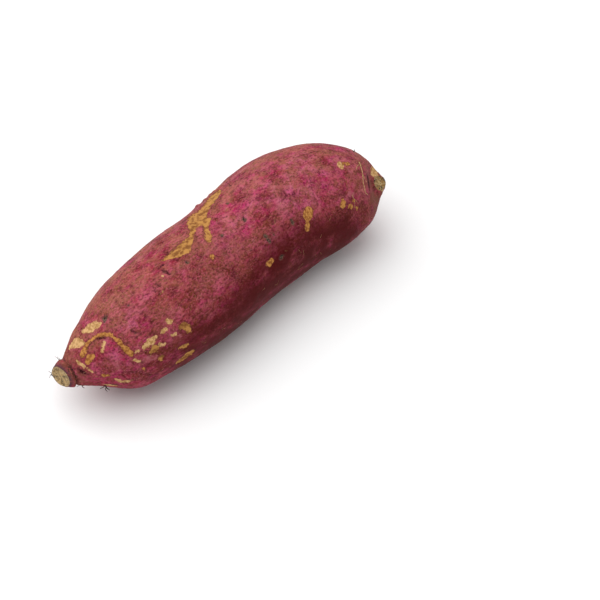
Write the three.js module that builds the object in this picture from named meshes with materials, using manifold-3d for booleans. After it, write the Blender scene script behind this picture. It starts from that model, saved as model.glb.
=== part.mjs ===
// A sweet potato: one storage root, trimmed at its crown and lying at rest on a table.
//
// Millimetres. +X runs from the trimmed crown to the root tip and +Z is up. The origin lies on
// the resting plane, under the middle of the root's bounding box.
//
// The root grew in one piece, so it is one closed solid: a turned profile that is bent along a
// bowed spine, given the broad ridges of a real root, and flattened a little where it rests.

import * as THREE from "three";
import { mergeVertices } from "three/addons/utils/BufferGeometryUtils.js";
import Module from "manifold-3d";

// Driving dimensions
const SPINE_LENGTH = 175; // from the crown's cut to the end of the tip, along the bowed spine
const GREATEST_RADIUS = 26.8; // of the round section that the ridges are added to
const CROWN_RADIUS = 6; // of the cut face where the root was trimmed from its vine
const TIP_RADIUS = 3.6; // of the scar where the tail root broke off
const RESTING_DEPTH = 0.8; // how far the underside is pressed flat

// Mesh fineness
const GIRTH_SEGMENTS = 64;
const PROFILE_SEGMENTS = 3; // per span between two profile stations
const WELD = 1e-4; // vertices nearer than this are one

// Sideways and upward offset of the spine from a straight line at the height of one radius, in
// shares of the greatest radius, at equal steps from the crown to the tip. The root bows to one
// side and its tip lifts off the table.
const BOW = [
  { side: 0.08, lift: -0.12 },
  { side: 0.01, lift: -0.06 },
  { side: 0.035, lift: 0 },
  { side: 0.16, lift: 0 },
  { side: 0.29, lift: -0.03 },
  { side: 0.44, lift: 0 },
  { side: 0.56, lift: 0.02 },
  { side: 0.36, lift: 0.08 },
  { side: -0.13, lift: 0.2 },
];

// Radius of the section, in shares of the greatest radius, against the share of the spine
// walked from the crown.
const FLARE = [
  [0.018, 0.225],
  [0.034, 0.235],
  [0.065, 0.37],
  [0.1, 0.54],
  [0.15, 0.74],
  [0.21, 0.875],
  [0.3, 0.935],
  [0.42, 0.98],
  [0.55, 0.96],
  [0.68, 1],
  [0.78, 0.98],
  [0.86, 0.885],
  [0.92, 0.72],
  [0.96, 0.5],
  [0.985, 0.26],
];

// Broad ridges: how many run round the root, how high they are against the section's radius,
// where the first one stands, and how far it winds round from the crown to the tip.
const RIDGES = [
  { count: 2, height: 0.025, at: 0, winds: 0.3 },
  { count: 3, height: 0.014, at: 1.1, winds: 0.9 },
  { count: 5, height: 0.006, at: 2.3, winds: -1.2 },
];

// The half outline that is turned: across the crown's cut, along the flare and over the tip.
function outline() {
  const stations = FLARE.map(
    ([walked, radius]) => new THREE.Vector2(radius * GREATEST_RADIUS, walked * SPINE_LENGTH),
  );
  const path = new THREE.Path();
  path.moveTo(0, 0);
  path.lineTo(CROWN_RADIUS, 0);
  path.splineThru([...stations, new THREE.Vector2(TIP_RADIUS, SPINE_LENGTH)]);
  path.lineTo(0, SPINE_LENGTH);
  return path.getPoints(PROFILE_SEGMENTS);
}

// The bowed centre line, walked by arc length.
function spine() {
  const points = BOW.map(
    ({ side, lift }, i) =>
      new THREE.Vector3(
        (i / (BOW.length - 1)) * SPINE_LENGTH,
        side * GREATEST_RADIUS,
        (1 + lift) * GREATEST_RADIUS,
      ),
  );
  return new THREE.CatmullRomCurve3(points, false, "centripetal");
}

// How much the ridges swell the section at an angle round it.
function swelling(angle, walked) {
  return RIDGES.reduce(
    (sum, { count, height, at, winds }) =>
      sum + height * Math.cos(count * (angle - at - winds * walked)),
    1,
  );
}

// Bends the turned blank along the spine: its axis becomes the spine, and each section is laid
// square to it.
function bend(blank) {
  const line = spine();
  const places = blank.getAttribute("position");
  const up = new THREE.Vector3(0, 0, 1);
  for (let i = 0; i < places.count; i++) {
    const walked = places.getY(i) / SPINE_LENGTH;
    const radius = Math.hypot(places.getX(i), places.getZ(i));
    const angle = Math.atan2(places.getX(i), places.getZ(i));
    const along = line.getTangentAt(walked);
    const side = new THREE.Vector3().crossVectors(up, along).normalize();
    const rise = new THREE.Vector3().crossVectors(along, side);
    const reach = radius * swelling(angle, walked);
    const place = line
      .getPointAt(walked)
      .addScaledVector(side, reach * Math.cos(angle))
      .addScaledVector(rise, reach * Math.sin(angle));
    places.setXYZ(i, place.x, place.y, place.z);
  }
  return blank;
}

// A geometry's closed surface, with shared vertices merged.
function closed(geometry) {
  geometry.deleteAttribute("normal");
  geometry.deleteAttribute("uv");
  return mergeVertices(geometry, WELD);
}

// The solid that a closed geometry bounds, ready for a boolean cut.
function toSolid(wasm, geometry) {
  const surface = closed(geometry);
  return new wasm.Manifold(
    new wasm.Mesh({
      numProp: 3,
      vertProperties: surface.getAttribute("position").array,
      triVerts: new Uint32Array(surface.index.array),
    }),
  );
}

// The surface of a solid, as a three.js geometry.
function toGeometry(solid) {
  const mesh = solid.getMesh();
  return new THREE.BufferGeometry()
    .setAttribute("position", new THREE.BufferAttribute(mesh.vertProperties, 3))
    .setIndex(new THREE.BufferAttribute(mesh.triVerts, 1));
}

// Cuts away all that lies below the resting plane, and stands the root on it.
function pressFlat(wasm, geometry) {
  geometry.computeBoundingBox();
  const floor = geometry.boundingBox.min.z + RESTING_DEPTH;
  const size = 2 * SPINE_LENGTH;
  const table = new THREE.BoxGeometry(size, size, size);
  table.translate(SPINE_LENGTH / 2, 0, floor - size / 2);
  const pressed = toGeometry(toSolid(wasm, geometry).subtract(toSolid(wasm, table)));
  pressed.computeBoundingBox();
  const middle = pressed.boundingBox.getCenter(new THREE.Vector3());
  return pressed.translate(-middle.x, -middle.y, -floor);
}

const wasm = await Module();
wasm.setup();

const skin = new THREE.MeshStandardMaterial({
  color: "#8e2f55",
  roughness: 0.6,
  metalness: 0,
});

const blank = new THREE.LatheGeometry(outline(), GIRTH_SEGMENTS);
const root = new THREE.Mesh(pressFlat(wasm, bend(blank)), skin);
root.name = "sweet_potato";

const group = new THREE.Group();
group.add(root);

export default group;
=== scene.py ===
"""A sweet potato at rest in a small studio.

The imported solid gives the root's size, place and sweep. This script reads them from the frame, lays a
fine skin over them, and adds what grew on that skin: corky scars, eyes, creases, rootlets and the dried
tissue of the two ends. Lengths are in millimetres until a mesh is made, and in metres after that.
"""

import logging
import math
from dataclasses import dataclass, field
from enum import Enum

import bmesh
import bpy
import numpy as np
from mathutils import Matrix, Vector, noise
from mathutils.bvhtree import BVHTree


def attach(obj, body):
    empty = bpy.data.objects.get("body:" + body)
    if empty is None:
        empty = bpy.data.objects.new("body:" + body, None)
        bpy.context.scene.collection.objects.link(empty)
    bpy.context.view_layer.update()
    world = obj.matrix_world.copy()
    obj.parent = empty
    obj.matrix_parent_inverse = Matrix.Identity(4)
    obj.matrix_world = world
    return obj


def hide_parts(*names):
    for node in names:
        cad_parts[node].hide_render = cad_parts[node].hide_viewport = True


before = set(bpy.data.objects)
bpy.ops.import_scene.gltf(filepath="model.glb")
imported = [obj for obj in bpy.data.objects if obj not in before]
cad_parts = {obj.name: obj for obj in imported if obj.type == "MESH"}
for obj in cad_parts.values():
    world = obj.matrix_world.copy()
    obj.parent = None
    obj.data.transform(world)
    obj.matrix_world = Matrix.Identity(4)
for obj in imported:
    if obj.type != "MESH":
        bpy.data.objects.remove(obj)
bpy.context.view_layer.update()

NODE = "sweet_potato"
BODY = "root"
MM = 0.001
FAR_OFF = 3.0  # mm outside a mark beyond which it has no effect

log = logging.getLogger("sweet_potato")


# ---------------------------------------------------------------------------------------------------
# Helpers


def linear(code: str) -> tuple[float, float, float, float]:
    """Turns an sRGB hex colour into a linear one.

    Args:
        code: The colour, such as "#a0522d".

    Returns:
        Red, green, blue and an alpha of one, in linear light.
    """
    shares = [int(code[i : i + 2], 16) / 255 for i in (1, 3, 5)]
    return (*(s / 12.92 if s <= 0.04045 else ((s + 0.055) / 1.055) ** 2.4 for s in shares), 1.0)


def add(
    tree: bpy.types.NodeTree,
    kind: str,
    settings: dict[str, object] | None = None,
    inputs: dict[str | int, object] | None = None,
) -> bpy.types.Node:
    """Adds a node to a tree, with its settings and what goes into it.

    Args:
        tree: The shader or geometry tree.
        kind: The node's type.
        settings: The node's own properties.
        inputs: For each input's name or number, a value, or an output to link to it.

    Returns:
        The new node.
    """
    node = tree.nodes.new(kind)
    for name, value in (settings or {}).items():
        setattr(node, name, value)
    for name, value in (inputs or {}).items():
        if isinstance(value, bpy.types.NodeSocket):
            tree.links.new(value, node.inputs[name])
        else:
            node.inputs[name].default_value = value
    return node


def smoothstep(values: np.ndarray, low: float, high: float) -> np.ndarray:
    """Eases from 0 at low to 1 at high."""
    share = np.clip((values - low) / (high - low), 0.0, 1.0)
    return share * share * (3 - 2 * share)


def hump(values: np.ndarray, middle: float, spread: float) -> np.ndarray:
    """A smooth hump, 1 at its middle."""
    return np.exp(-(((values - middle) / spread) ** 2))


def towards(turn: np.ndarray, middle: float) -> np.ndarray:
    """1 on the side of the root at the middle angle, 0 on the opposite side. In degrees."""
    return 0.5 + 0.5 * np.cos(np.radians(turn - middle))


def waver(places: np.ndarray, grain: float, seed: int, octaves: int = 1) -> np.ndarray:
    """Smooth noise at places.

    Args:
        places: Points in millimetres, in an array whose last axis is x, y and z.
        grain: The size of one wave, in millimetres.
        seed: Picks one pattern.
        octaves: How many sizes of wave are added up.

    Returns:
        Values from about -1 to 1, in an array without the last axis.
    """
    shift = np.array((17.3, 5.1, 11.7)) * seed
    flat = places.reshape(-1, 3) / grain + shift
    waves = [noise.fractal(Vector(p), 1.0, 2.0, octaves, noise_basis="PERLIN_ORIGINAL") for p in flat]
    return np.array(waves).reshape(places.shape[:-1])


def unit(vectors: np.ndarray) -> np.ndarray:
    """Vectors along the last axis, at length one."""
    return vectors / np.linalg.norm(vectors, axis=-1, keepdims=True)


def blur(values: np.ndarray, spread: float, wraps: bool) -> np.ndarray:
    """Smooths values along their first axis.

    Args:
        values: The values, evenly spaced along the first axis.
        spread: The standard deviation of the blur, in steps.
        wraps: Whether the last step comes before the first.

    Returns:
        The smoothed values, as many as there were.
    """
    reach = max(1, math.ceil(3 * spread))
    weights = np.exp(-0.5 * (np.arange(-reach, reach + 1) / spread) ** 2)
    padding = [(reach, reach)] + [(0, 0)] * (values.ndim - 1)
    if wraps:
        padded = np.pad(values, padding, mode="wrap")
    else:
        padded = np.pad(values, padding, mode="reflect", reflect_type="odd")
    total = sum(w * padded[i : i + len(values)] for i, w in enumerate(weights))
    return total / weights.sum()


# ---------------------------------------------------------------------------------------------------
# The root's form


@dataclass
class RootForm:
    """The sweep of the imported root: its middle line, and how far out its surface lies.

    A place on the root is given by how far it is along the middle line from the crown's cut, in
    millimetres, and by the degrees round that line from the top, towards the -Y side.
    """

    stations: int = 90  # on the middle line while it is being found
    passes: int = 8  # of moving the middle line to the middle of its sections
    probes: int = 48  # rays round each section in a pass
    settle: float = 7.0  # mm from an end over which the line turns square to that end's face
    line_blur: float = 1.5  # stations over which the middle line is smoothed in each pass
    slope_blur: float = 1.0  # stations over which its direction is smoothed
    weld: float = 0.001  # mm between corners that are one
    flat_angle: float = 0.2  # degrees between triangles that are one face
    end_slope: float = 0.5  # the least x of an end face's normal

    bvh: BVHTree = field(init=False)
    line: np.ndarray = field(init=False)
    walked: np.ndarray = field(init=False)
    ends: list[tuple[np.ndarray, np.ndarray]] = field(init=False)

    def __post_init__(self) -> None:
        """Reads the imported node, and finds its end faces and its middle line."""
        solid = bmesh.new()
        solid.from_mesh(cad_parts[NODE].data)
        bmesh.ops.scale(solid, vec=Vector((1, 1, 1)) / MM, verts=solid.verts)
        bmesh.ops.remove_doubles(solid, verts=solid.verts, dist=self.weld)
        self.bvh = BVHTree.FromBMesh(solid)
        self.ends = self.find_ends(solid)
        solid.free()
        self.find_line()

    def find_ends(self, solid: bmesh.types.BMesh) -> list[tuple[np.ndarray, np.ndarray]]:
        """Finds the flat faces at the crown and at the tail.

        Args:
            solid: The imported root, in millimetres. Its coplanar triangles are joined.

        Returns:
            For the crown and then the tail, the face's middle and its outward normal.
        """
        bmesh.ops.dissolve_limit(
            solid, angle_limit=math.radians(self.flat_angle), verts=solid.verts, edges=solid.edges
        )
        round_faces = [f for f in solid.faces if len(f.verts) > self.probes / 2]
        ends = [f for f in round_faces if abs(f.normal.x) > self.end_slope]
        ends.sort(key=lambda f: f.calc_center_median().x)
        return [(np.array(f.calc_center_median()), np.array(f.normal)) for f in (ends[0], ends[-1])]

    def find_line(self) -> None:
        """Moves a straight line to the middle of the root's sections, pass by pass."""
        share = np.linspace(0, 1, self.stations)[:, None]
        self.set_line((1 - share) * self.ends[0][0] + share * self.ends[1][0])
        angles = np.linspace(0, 360, self.probes, endpoint=False)
        for _ in range(self.passes):
            inner = self.walked[1:-1]
            middles = self.cast(inner, angles)[0].mean(axis=1)
            moved = np.vstack([self.line[:1], middles, self.line[-1:]])
            moved[1:-1] = blur(moved, self.line_blur, wraps=False)[1:-1]
            self.set_line(moved)

    def set_line(self, points: np.ndarray) -> None:
        """Takes points as the middle line, spaced evenly along it.

        Args:
            points: The line's points, in millimetres.
        """
        steps = np.linalg.norm(np.diff(points, axis=0), axis=1)
        walked = np.concatenate([[0], np.cumsum(steps)])
        self.walked = np.linspace(0, walked[-1], self.stations)
        self.line = np.stack([np.interp(self.walked, walked, points[:, i]) for i in range(3)], axis=1)

    @property
    def length(self) -> float:
        """The middle line's length, in millimetres."""
        return float(self.walked[-1])

    def frames(self, along: np.ndarray) -> tuple[np.ndarray, np.ndarray, np.ndarray, np.ndarray]:
        """Places on the middle line, and the way it runs there.

        Args:
            along: Distances from the crown, in millimetres.

        Returns:
            The places, the line's direction, the level direction across it towards -Y, and the
            direction square to both that points up.
        """
        place = np.stack([np.interp(along, self.walked, self.line[:, i]) for i in range(3)], axis=1)
        slopes = blur(np.gradient(self.line, self.walked, axis=0), self.slope_blur, wraps=False)
        run = unit(np.stack([np.interp(along, self.walked, slopes[:, i]) for i in range(3)], axis=1))
        for normal, near in (
            (-self.ends[0][1], along / self.settle),
            (self.ends[1][1], (self.length - along) / self.settle),
        ):
            held = smoothstep(near, 0.0, 1.0)[:, None]
            run = unit(held * run + (1 - held) * normal)
        across = unit(np.cross(run, (0.0, 0.0, 1.0)))
        return place, run, across, np.cross(across, run)

    def cast(self, along: np.ndarray, round_deg: np.ndarray) -> tuple[np.ndarray, np.ndarray]:
        """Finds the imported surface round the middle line.

        Args:
            along: Distances from the crown, in millimetres.
            round_deg: Degrees from the top, towards -Y.

        Returns:
            The points hit, and their distances from the middle line, for each distance and angle.
        """
        place, _, across, rise = self.frames(along)
        angle = np.radians(round_deg)
        way = (
            np.cos(angle)[None, :, None] * rise[:, None, :]
            + np.sin(angle)[None, :, None] * across[:, None, :]
        )
        points = np.empty(way.shape)
        reach = np.empty(way.shape[:2])
        for i, start in enumerate(place):
            origin = Vector(start)
            for j, direction in enumerate(way[i]):
                hit, _, _, distance = self.bvh.ray_cast(origin, Vector(direction))
                points[i, j] = hit if hit is not None else start
                reach[i, j] = distance if hit is not None else 0.0
        return points, reach


# ---------------------------------------------------------------------------------------------------
# What marks the skin


class Tone(Enum):
    """The kinds of mark on the skin. Each is an attribute: millimetres inside the mark's edge."""

    CORK = "cork_scar"  # thick ochre cork that healed over a wound
    BARE = "bare_patch"  # thin tan patches where the red skin flaked off
    FADED = "faded_patch"  # pinkish patches that are only half rubbed through
    RUST = "rust_scar"  # orange-brown cork in folds and pits
    EYE = "eye"  # dents that side roots grew from
    # The crease's dark colour is painted shade in its sunk groove.
    CREASE = "crease"  # dark lines where the skin folds under


@dataclass(frozen=True)
class Seat:
    """How a kind of mark lies in the skin, in millimetres."""

    sunk: float  # less than nothing where it stands out
    lip: float
    slope: float  # across the edge


SEATS = {
    Tone.CORK: Seat(sunk=0.28, lip=0.12, slope=0.6),
    Tone.BARE: Seat(sunk=0.12, lip=0.05, slope=0.4),
    Tone.FADED: Seat(sunk=0.05, lip=0.0, slope=0.5),
    Tone.RUST: Seat(sunk=-0.12, lip=0.0, slope=0.6),
    Tone.EYE: Seat(sunk=0.5, lip=0.14, slope=0.8),
    Tone.CREASE: Seat(sunk=0.6, lip=0.1, slope=0.7),
}


@dataclass(frozen=True)
class Stroke:
    """One mark, drawn as a line on the skin. A single point makes a round mark.

    Each point is millimetres from the crown, degrees round from the top, and half the width in
    millimetres.
    """

    tone: Tone
    points: tuple[tuple[float, float, float], ...]


@dataclass(frozen=True)
class Slant:
    """How an end face lies: how far in, and how it leans towards one side of the root."""

    inset: float  # mm by which the whole face is moved in
    degrees: float
    round_deg: float
    fades_over: float  # mm of root that the move is spread over
    widest: float  # mm from the middle line, beyond which the lean moves points no further

    def shift(self, depth: np.ndarray, turn: np.ndarray, reach: np.ndarray) -> np.ndarray:
        """Millimetres that points move in from the end.

        Args:
            depth: How far the points are from the end, in millimetres.
            turn: Their angles round the root, in radians.
            reach: Their distances from the middle line.

        Returns:
            The move, more than nothing on the side that the face leans to.
        """
        lean = math.tan(math.radians(self.degrees)) * np.cos(turn - math.radians(self.round_deg))
        held = (1 - smoothstep(depth, 0.0, self.fades_over)) ** 2
        return (self.inset + lean * np.minimum(reach, self.widest)) * held


CROWN_SLANT = Slant(inset=1.4, degrees=18, round_deg=51, fades_over=11, widest=10)
TAIL_SLANT = Slant(inset=1.8, degrees=37, round_deg=34, fades_over=11, widest=4.5)


@dataclass(frozen=True)
class Offset:
    """How far an end stands to one side of the middle line."""

    side: float  # mm
    round_deg: float
    fades_over: float  # mm of root that it is spread over


CROWN_OFFSET = Offset(side=1.0, round_deg=134, fades_over=15)
TAIL_OFFSET = Offset(side=1.1, round_deg=-50, fades_over=8)


@dataclass(frozen=True)
class Swelling:
    """A low lump on the root, or a hollow where its height is negative."""

    along: float  # mm from the crown
    round_deg: float
    spread: float  # mm
    height: float  # mm


# The forked cork scar on the root's shoulder: its upper stripe, its left leg and its right leg.
FORKED_SCAR = (
    Stroke(Tone.CORK, ((110, -43, 2.4), (107.5, -40, 3.4), (104.5, -36, 3), (101, -33, 2.6), (97, -31, 2.9))),
    Stroke(Tone.CORK, ((97, -31, 3.1), (93, -27, 3.3), (89.5, -24, 4.6), (86, -20, 3.0), (84, -18, 1.8))),
    Stroke(Tone.CORK, ((84, -18, 1.8), (81, -12, 0.9), (78, -8, 1.0), (75, -5, 2.2), (71, -2, 2.7))),
    Stroke(Tone.CORK, ((71, -2, 2.9), (67, -3, 2.4), (64, -5, 1.3), (61, -7, 0.6))),
    Stroke(Tone.CORK, ((91, -15, 2.2), (88, -9, 1.4), (85.5, -2, 1.1), (83.5, 4, 1.5), (82, 7, 1.1))),
    Stroke(Tone.CORK, ((93, -38, 1.0), (89, -36, 1.2))),
)

# The arched fold near the crown, with the painted shade of its sunk crease on the inner side.
ARCHED_FOLD = (
    Stroke(Tone.RUST, ((12, 18, 1.2), (14, 12, 1.2), (16.5, 7, 0.9), (20, 9, 0.9), (23, 15, 0.8))),
    Stroke(Tone.RUST, ((23, 15, 0.8), (25, 23, 0.8), (26, 34, 0.9), (26.5, 46, 1.1), (27.5, 56, 1.4))),
    Stroke(
        Tone.CREASE,
        ((15.2, 15, 0.1), (17.5, 12.5, 0.25), (20, 14, 0.25), (22, 19, 0.2), (23.3, 25, 0.1)),
    ),
)

# Patches and flecks between the crown and the middle.
CROWN_PATCHES = (
    Stroke(Tone.BARE, ((18.2, -15, 1.3), (20.8, -9, 2.2), (23, -4, 1.7), (24.3, -1, 1.0))),
    Stroke(Tone.BARE, ((10, -29, 1.0), (12.5, -18, 1.9), (14, -7, 1.8), (14.5, -2, 1.2))),
    Stroke(Tone.RUST, ((12.5, 41, 1.0), (13.9, 36, 1.5), (15.2, 34, 1.1))),
    Stroke(Tone.BARE, ((9.3, 22, 0.5), (10, 36, 0.75), (11, 50, 0.75), (12.5, 64, 0.5))),
    Stroke(Tone.CREASE, ((8.2, 44, 0.3), (9.2, 58, 0.8), (10.8, 72, 0.4))),
    Stroke(Tone.BARE, ((21.3, 26, 0.8), (20, 30, 0.7), (19, 35, 0.5))),
    Stroke(Tone.BARE, ((33.5, 57, 1.2), (36, 55, 1.6), (38.2, 53, 0.9))),
    Stroke(Tone.BARE, ((29.4, 58, 0.8), (30.6, 57, 0.7))),
    Stroke(Tone.CORK, ((34.5, 66, 1.2), (36.5, 64, 1.5))),
    Stroke(Tone.BARE, ((45.3, 47, 1.2), (46.2, 48, 1.1))),
    Stroke(Tone.BARE, ((41.2, 53, 0.9), (43, 51.5, 0.9))),
    Stroke(Tone.CORK, ((48.5, 59, 1.2), (50.2, 62, 1.8), (50.4, 68, 1.2))),
    Stroke(Tone.BARE, ((43.6, 61, 0.5), (45.0, 62, 0.8))),
    Stroke(Tone.FADED, ((46.5, 67, 1.0),)),
    Stroke(Tone.CORK, ((44.8, 79, 0.8), (47.4, 81, 0.9))),
    Stroke(Tone.CORK, ((43, 96, 1.2), (46, 95, 1.6), (49, 94, 1.4))),
    Stroke(Tone.BARE, ((38.5, 63, 1.0), (40, 65, 0.7))),
    Stroke(Tone.FADED, ((31.5, 72, 1.4), (35, 74, 1.1))),
    Stroke(Tone.CORK, ((37, 78, 1.2),)),
    Stroke(Tone.BARE, ((27.5, 66, 0.7), (29.2, 70, 0.6))),
    Stroke(Tone.BARE, ((19, 89, 0.5), (20.8, 97, 0.8), (24, 97, 0.7))),
    Stroke(Tone.BARE, ((15.5, 112, 0.8), (19, 112, 0.8))),
    Stroke(Tone.FADED, ((21.5, 61, 1.0), (21, 73, 0.6))),
    Stroke(Tone.RUST, ((15.5, 78, 0.7), (17.2, 79, 0.7))),
)

# Patches on the tail half.
TAIL_PATCHES = (
    Stroke(Tone.RUST, ((133.6, 46, 1.6), (132.4, 49, 2.6), (131, 52, 1.8), (129.6, 54, 0.8))),
    Stroke(Tone.RUST, ((128.3, 57, 1.0), (127, 60, 1.5), (126.3, 62, 1.0))),
    Stroke(Tone.BARE, ((162.6, 9, 1.8), (162.8, 13, 1.1))),
    Stroke(Tone.RUST, ((164, 7, 1.0), (166.7, 7, 0.6))),
    Stroke(Tone.RUST, ((158, 54.5, 1.6), (157.4, 57, 1.2))),
    Stroke(Tone.RUST, ((166.3, 58, 0.9),)),
    Stroke(Tone.RUST, ((161.5, 62, 1.1), (163, 65, 0.7))),
    Stroke(Tone.CORK, ((168, 70, 0.8),)),
    Stroke(Tone.FADED, ((164, 48, 1.2), (166, 50, 1.0))),
    Stroke(Tone.FADED, ((166.5, 18, 0.9), (168.0, 20, 0.7))),
    Stroke(Tone.RUST, ((99.5, 65, 1.5), (101.7, 64, 1.1))),
    Stroke(Tone.RUST, ((77.4, 22, 1.1),)),
    Stroke(Tone.BARE, ((179.6, -60, 1.2), (179.8, -48, 1.9), (180.0, -36, 1.9), (180.2, -22, 1.2))),
)

# Dark nicks in the skin and the pale flecks beside them.
NICKS = (
    Stroke(Tone.CREASE, ((57.0, -4, 0.2), (59.2, -3, 0.3))),
    Stroke(Tone.CREASE, ((57.1, 1, 0.4), (57.5, 5, 0.5), (57.8, 9, 0.3))),
    Stroke(Tone.CREASE, ((50.9, 9, 0.5), (51.2, 13, 0.5))),
    Stroke(Tone.CREASE, ((32.1, 33, 0.2), (33.7, 39, 0.3))),
    Stroke(Tone.EYE, ((105.2, 39, 0.5), (105.6, 47, 0.6))),
    Stroke(Tone.EYE, ((119.9, 44, 0.5), (119.5, 48, 0.6))),
    Stroke(Tone.EYE, ((27.6, -1, 0.7), (26.2, 2, 0.6))),
    Stroke(Tone.CREASE, ((149.2, -12, 0.1), (151.9, -15, 0.2), (155.0, -16, 0.2), (157.4, -12, 0.1))),
    Stroke(Tone.CREASE, ((175.6, 22, 0.7), (175.8, 36, 0.9), (175.6, 50, 0.6))),
    Stroke(Tone.RUST, ((29.4, 82, 0.4), (30.0, 86, 0.4))),
    Stroke(Tone.BARE, ((55.0, 6, 0.6),)),
    Stroke(Tone.BARE, ((50.5, 19, 0.5),)),
    Stroke(Tone.FADED, ((56.4, -32, 1.6), (58.5, -33, 1.0))),
    Stroke(Tone.FADED, ((102.4, 23, 0.6),)),
    Stroke(Tone.FADED, ((124.0, 5, 0.4), (124.5, 9, 0.5))),
    Stroke(Tone.FADED, ((63, -38, 1.4), (68, -40, 1.0))),
    Stroke(Tone.FADED, ((72, -44, 1.0), (76, -46, 1.3))),
    Stroke(Tone.FADED, ((119, -40, 1.1), (124, -43, 1.5), (130, -44, 1.0))),
)

# Eyes: millimetres from the crown, degrees round from the top, and millimetres across.
EYES = (
    (27, 0, 1.6), (37, 8, 0.9), (51, 11, 0.9), (33, 38, 0.6), (103, 14, 1.7), (105, -13, 1.2),
    (115, -32, 0.9), (89, 12, 1.1), (67, 12, 1.3), (57, 4, 0.9), (106, 41, 1.2), (109, 44, 0.8),
    (106.5, 68, 2.0), (120, 45, 1.0),
)

# Lumps and hollows: millimetres from the crown, degrees round, and their spread and height.
SWELLINGS = (
    Swelling(20, 34, 4.5, 0.7),  # inside the arched fold
    Swelling(24, 8, 3.5, 0.3),
    Swelling(10, 57, 2.5, -0.8),  # beside the tan stripe behind the neck
    Swelling(112, -58, 8.0, -0.6),
    Swelling(114.5, -48, 1.5, 0.7),  # small warts beside the forked scar
    Swelling(112.3, -54, 1.3, 0.8),
    Swelling(109.8, -56, 1.5, 0.7),
    Swelling(106.5, -57, 1.2, 0.6),
    Swelling(102, -58, 1.3, 0.6),
    Swelling(155.5, 36, 5.0, -0.6),
    Swelling(154, -16, 5.0, -0.5),
    Swelling(33, -52, 10.0, -0.8),
    Swelling(150, -25, 9.0, 0.5),
    Swelling(140, -5, 8.0, -0.4),
    Swelling(100, 65, 2.2, -0.5),
    Swelling(166, 118, 15.0, 0.8),  # fuller under the tail
    Swelling(174, 108, 8.0, 2.0),
    Swelling(178.3, 98, 5.0, 1.9),
    Swelling(178, -52, 4.5, 1.5),
    Swelling(13, -45, 7.0, 1.4),
    Swelling(27, 125, 9.0, 1.7),
    Swelling(8, 125, 6.0, 0.6),
    Swelling(122, 118, 14.0, 0.8),
)


@dataclass
class Blemishes:
    """The marks on the skin: those named above, and scattered ones where the root is hidden."""

    seed: int = 5
    hidden_from: float = 135.0  # degrees round where the hidden side starts
    hidden_to: float = 300.0
    hidden_patches: int = 26
    patch_along: tuple[float, float] = (12, 165)  # the least and greatest mm from the crown
    patch_run: tuple[float, float] = (0.5, 4.5)  # mm that a patch runs along the root
    patch_lean: tuple[float, float] = (-5, 5)  # degrees that it winds round it
    patch_half: tuple[float, float] = (0.5, 1.4)  # half its width, in mm
    hidden_eyes: int = 22
    eye_along: tuple[float, float] = (15, 160)
    eye_half: tuple[float, float] = (0.2, 0.5)
    step: float = 1.0  # mm between the points that a stroke is measured at

    strokes: list[Stroke] = field(init=False)

    def __post_init__(self) -> None:
        """Gathers the named marks and scatters the hidden side's."""
        eyes = [Stroke(Tone.EYE, ((a, r, s / 2),)) for a, r, s in EYES]
        self.strokes = [*FORKED_SCAR, *ARCHED_FOLD, *CROWN_PATCHES, *TAIL_PATCHES, *NICKS, *eyes]
        rng = np.random.default_rng(self.seed)
        tones = (Tone.BARE, Tone.CORK, Tone.FADED, Tone.RUST)
        for i in range(self.hidden_patches):
            along, turn = rng.uniform(*self.patch_along), rng.uniform(self.hidden_from, self.hidden_to)
            run, lean, half = (rng.uniform(*r) for r in (self.patch_run, self.patch_lean, self.patch_half))
            points = ((along, turn, half), (along + run, turn + lean, half * rng.uniform(0.5, 1)))
            self.strokes.append(Stroke(tones[i % len(tones)], points))
        for _ in range(self.hidden_eyes):
            along, turn = rng.uniform(*self.eye_along), rng.uniform(self.hidden_from, self.hidden_to)
            self.strokes.append(Stroke(Tone.EYE, ((along, turn, rng.uniform(*self.eye_half)),)))

    def inside(self, tone: Tone, skin: "RootSkin", points: np.ndarray) -> np.ndarray:
        """Measures how far inside one kind of mark each point of the skin lies.

        Args:
            tone: The kind of mark.
            skin: The skin, which knows where a place on the root is.
            points: The skin's points, in millimetres.

        Returns:
            Millimetres inside the nearest edge, negative outside, down to minus FAR_OFF.
        """
        flat = points.reshape(-1, 3)
        best = np.full(len(flat), -FAR_OFF)
        for stroke in (s for s in self.strokes if s.tone is tone):
            marks = np.array(stroke.points, float)
            spots = skin.at(marks[:, 0], marks[:, 1])
            runs = np.linalg.norm(np.diff(spots, axis=0), axis=1)
            count = max(1, math.ceil(runs.sum() / self.step)) + 1 if len(marks) > 1 else 1
            share = np.linspace(0, len(marks) - 1, count)
            fine = [np.interp(share, np.arange(len(marks)), marks[:, i]) for i in range(3)]
            spots = skin.at(fine[0], fine[1])
            reach = fine[2].max() + FAR_OFF
            low, high = spots.min(axis=0) - reach, spots.max(axis=0) + reach
            near = np.flatnonzero(((flat > low) & (flat < high)).all(axis=1))
            for spot, half in zip(spots, fine[2]):
                found = half - np.linalg.norm(flat[near] - spot, axis=1)
                best[near] = np.maximum(best[near], found)
        return best.reshape(points.shape[:-1])


# ---------------------------------------------------------------------------------------------------
# The skin's mesh


@dataclass(frozen=True)
class Wave:
    """One size of unevenness in the skin."""

    height: float  # mm
    grain: float  # mm from one crest to the next
    seed: int
    octaves: int = 1

    def lift(self, places: np.ndarray) -> np.ndarray:
        """Millimetres that it stands out at places."""
        return self.height * waver(places, self.grain, self.seed, self.octaves)


@dataclass(frozen=True)
class Band:
    """A ridge right round the root, or a groove where its height is negative."""

    height: float  # mm
    at: float  # mm from the end
    spread: float  # mm

    def lift(self, depth: np.ndarray) -> np.ndarray:
        """Millimetres that it stands out at distances from the end."""
        return self.height * hump(depth, self.at, self.spread)


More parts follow.
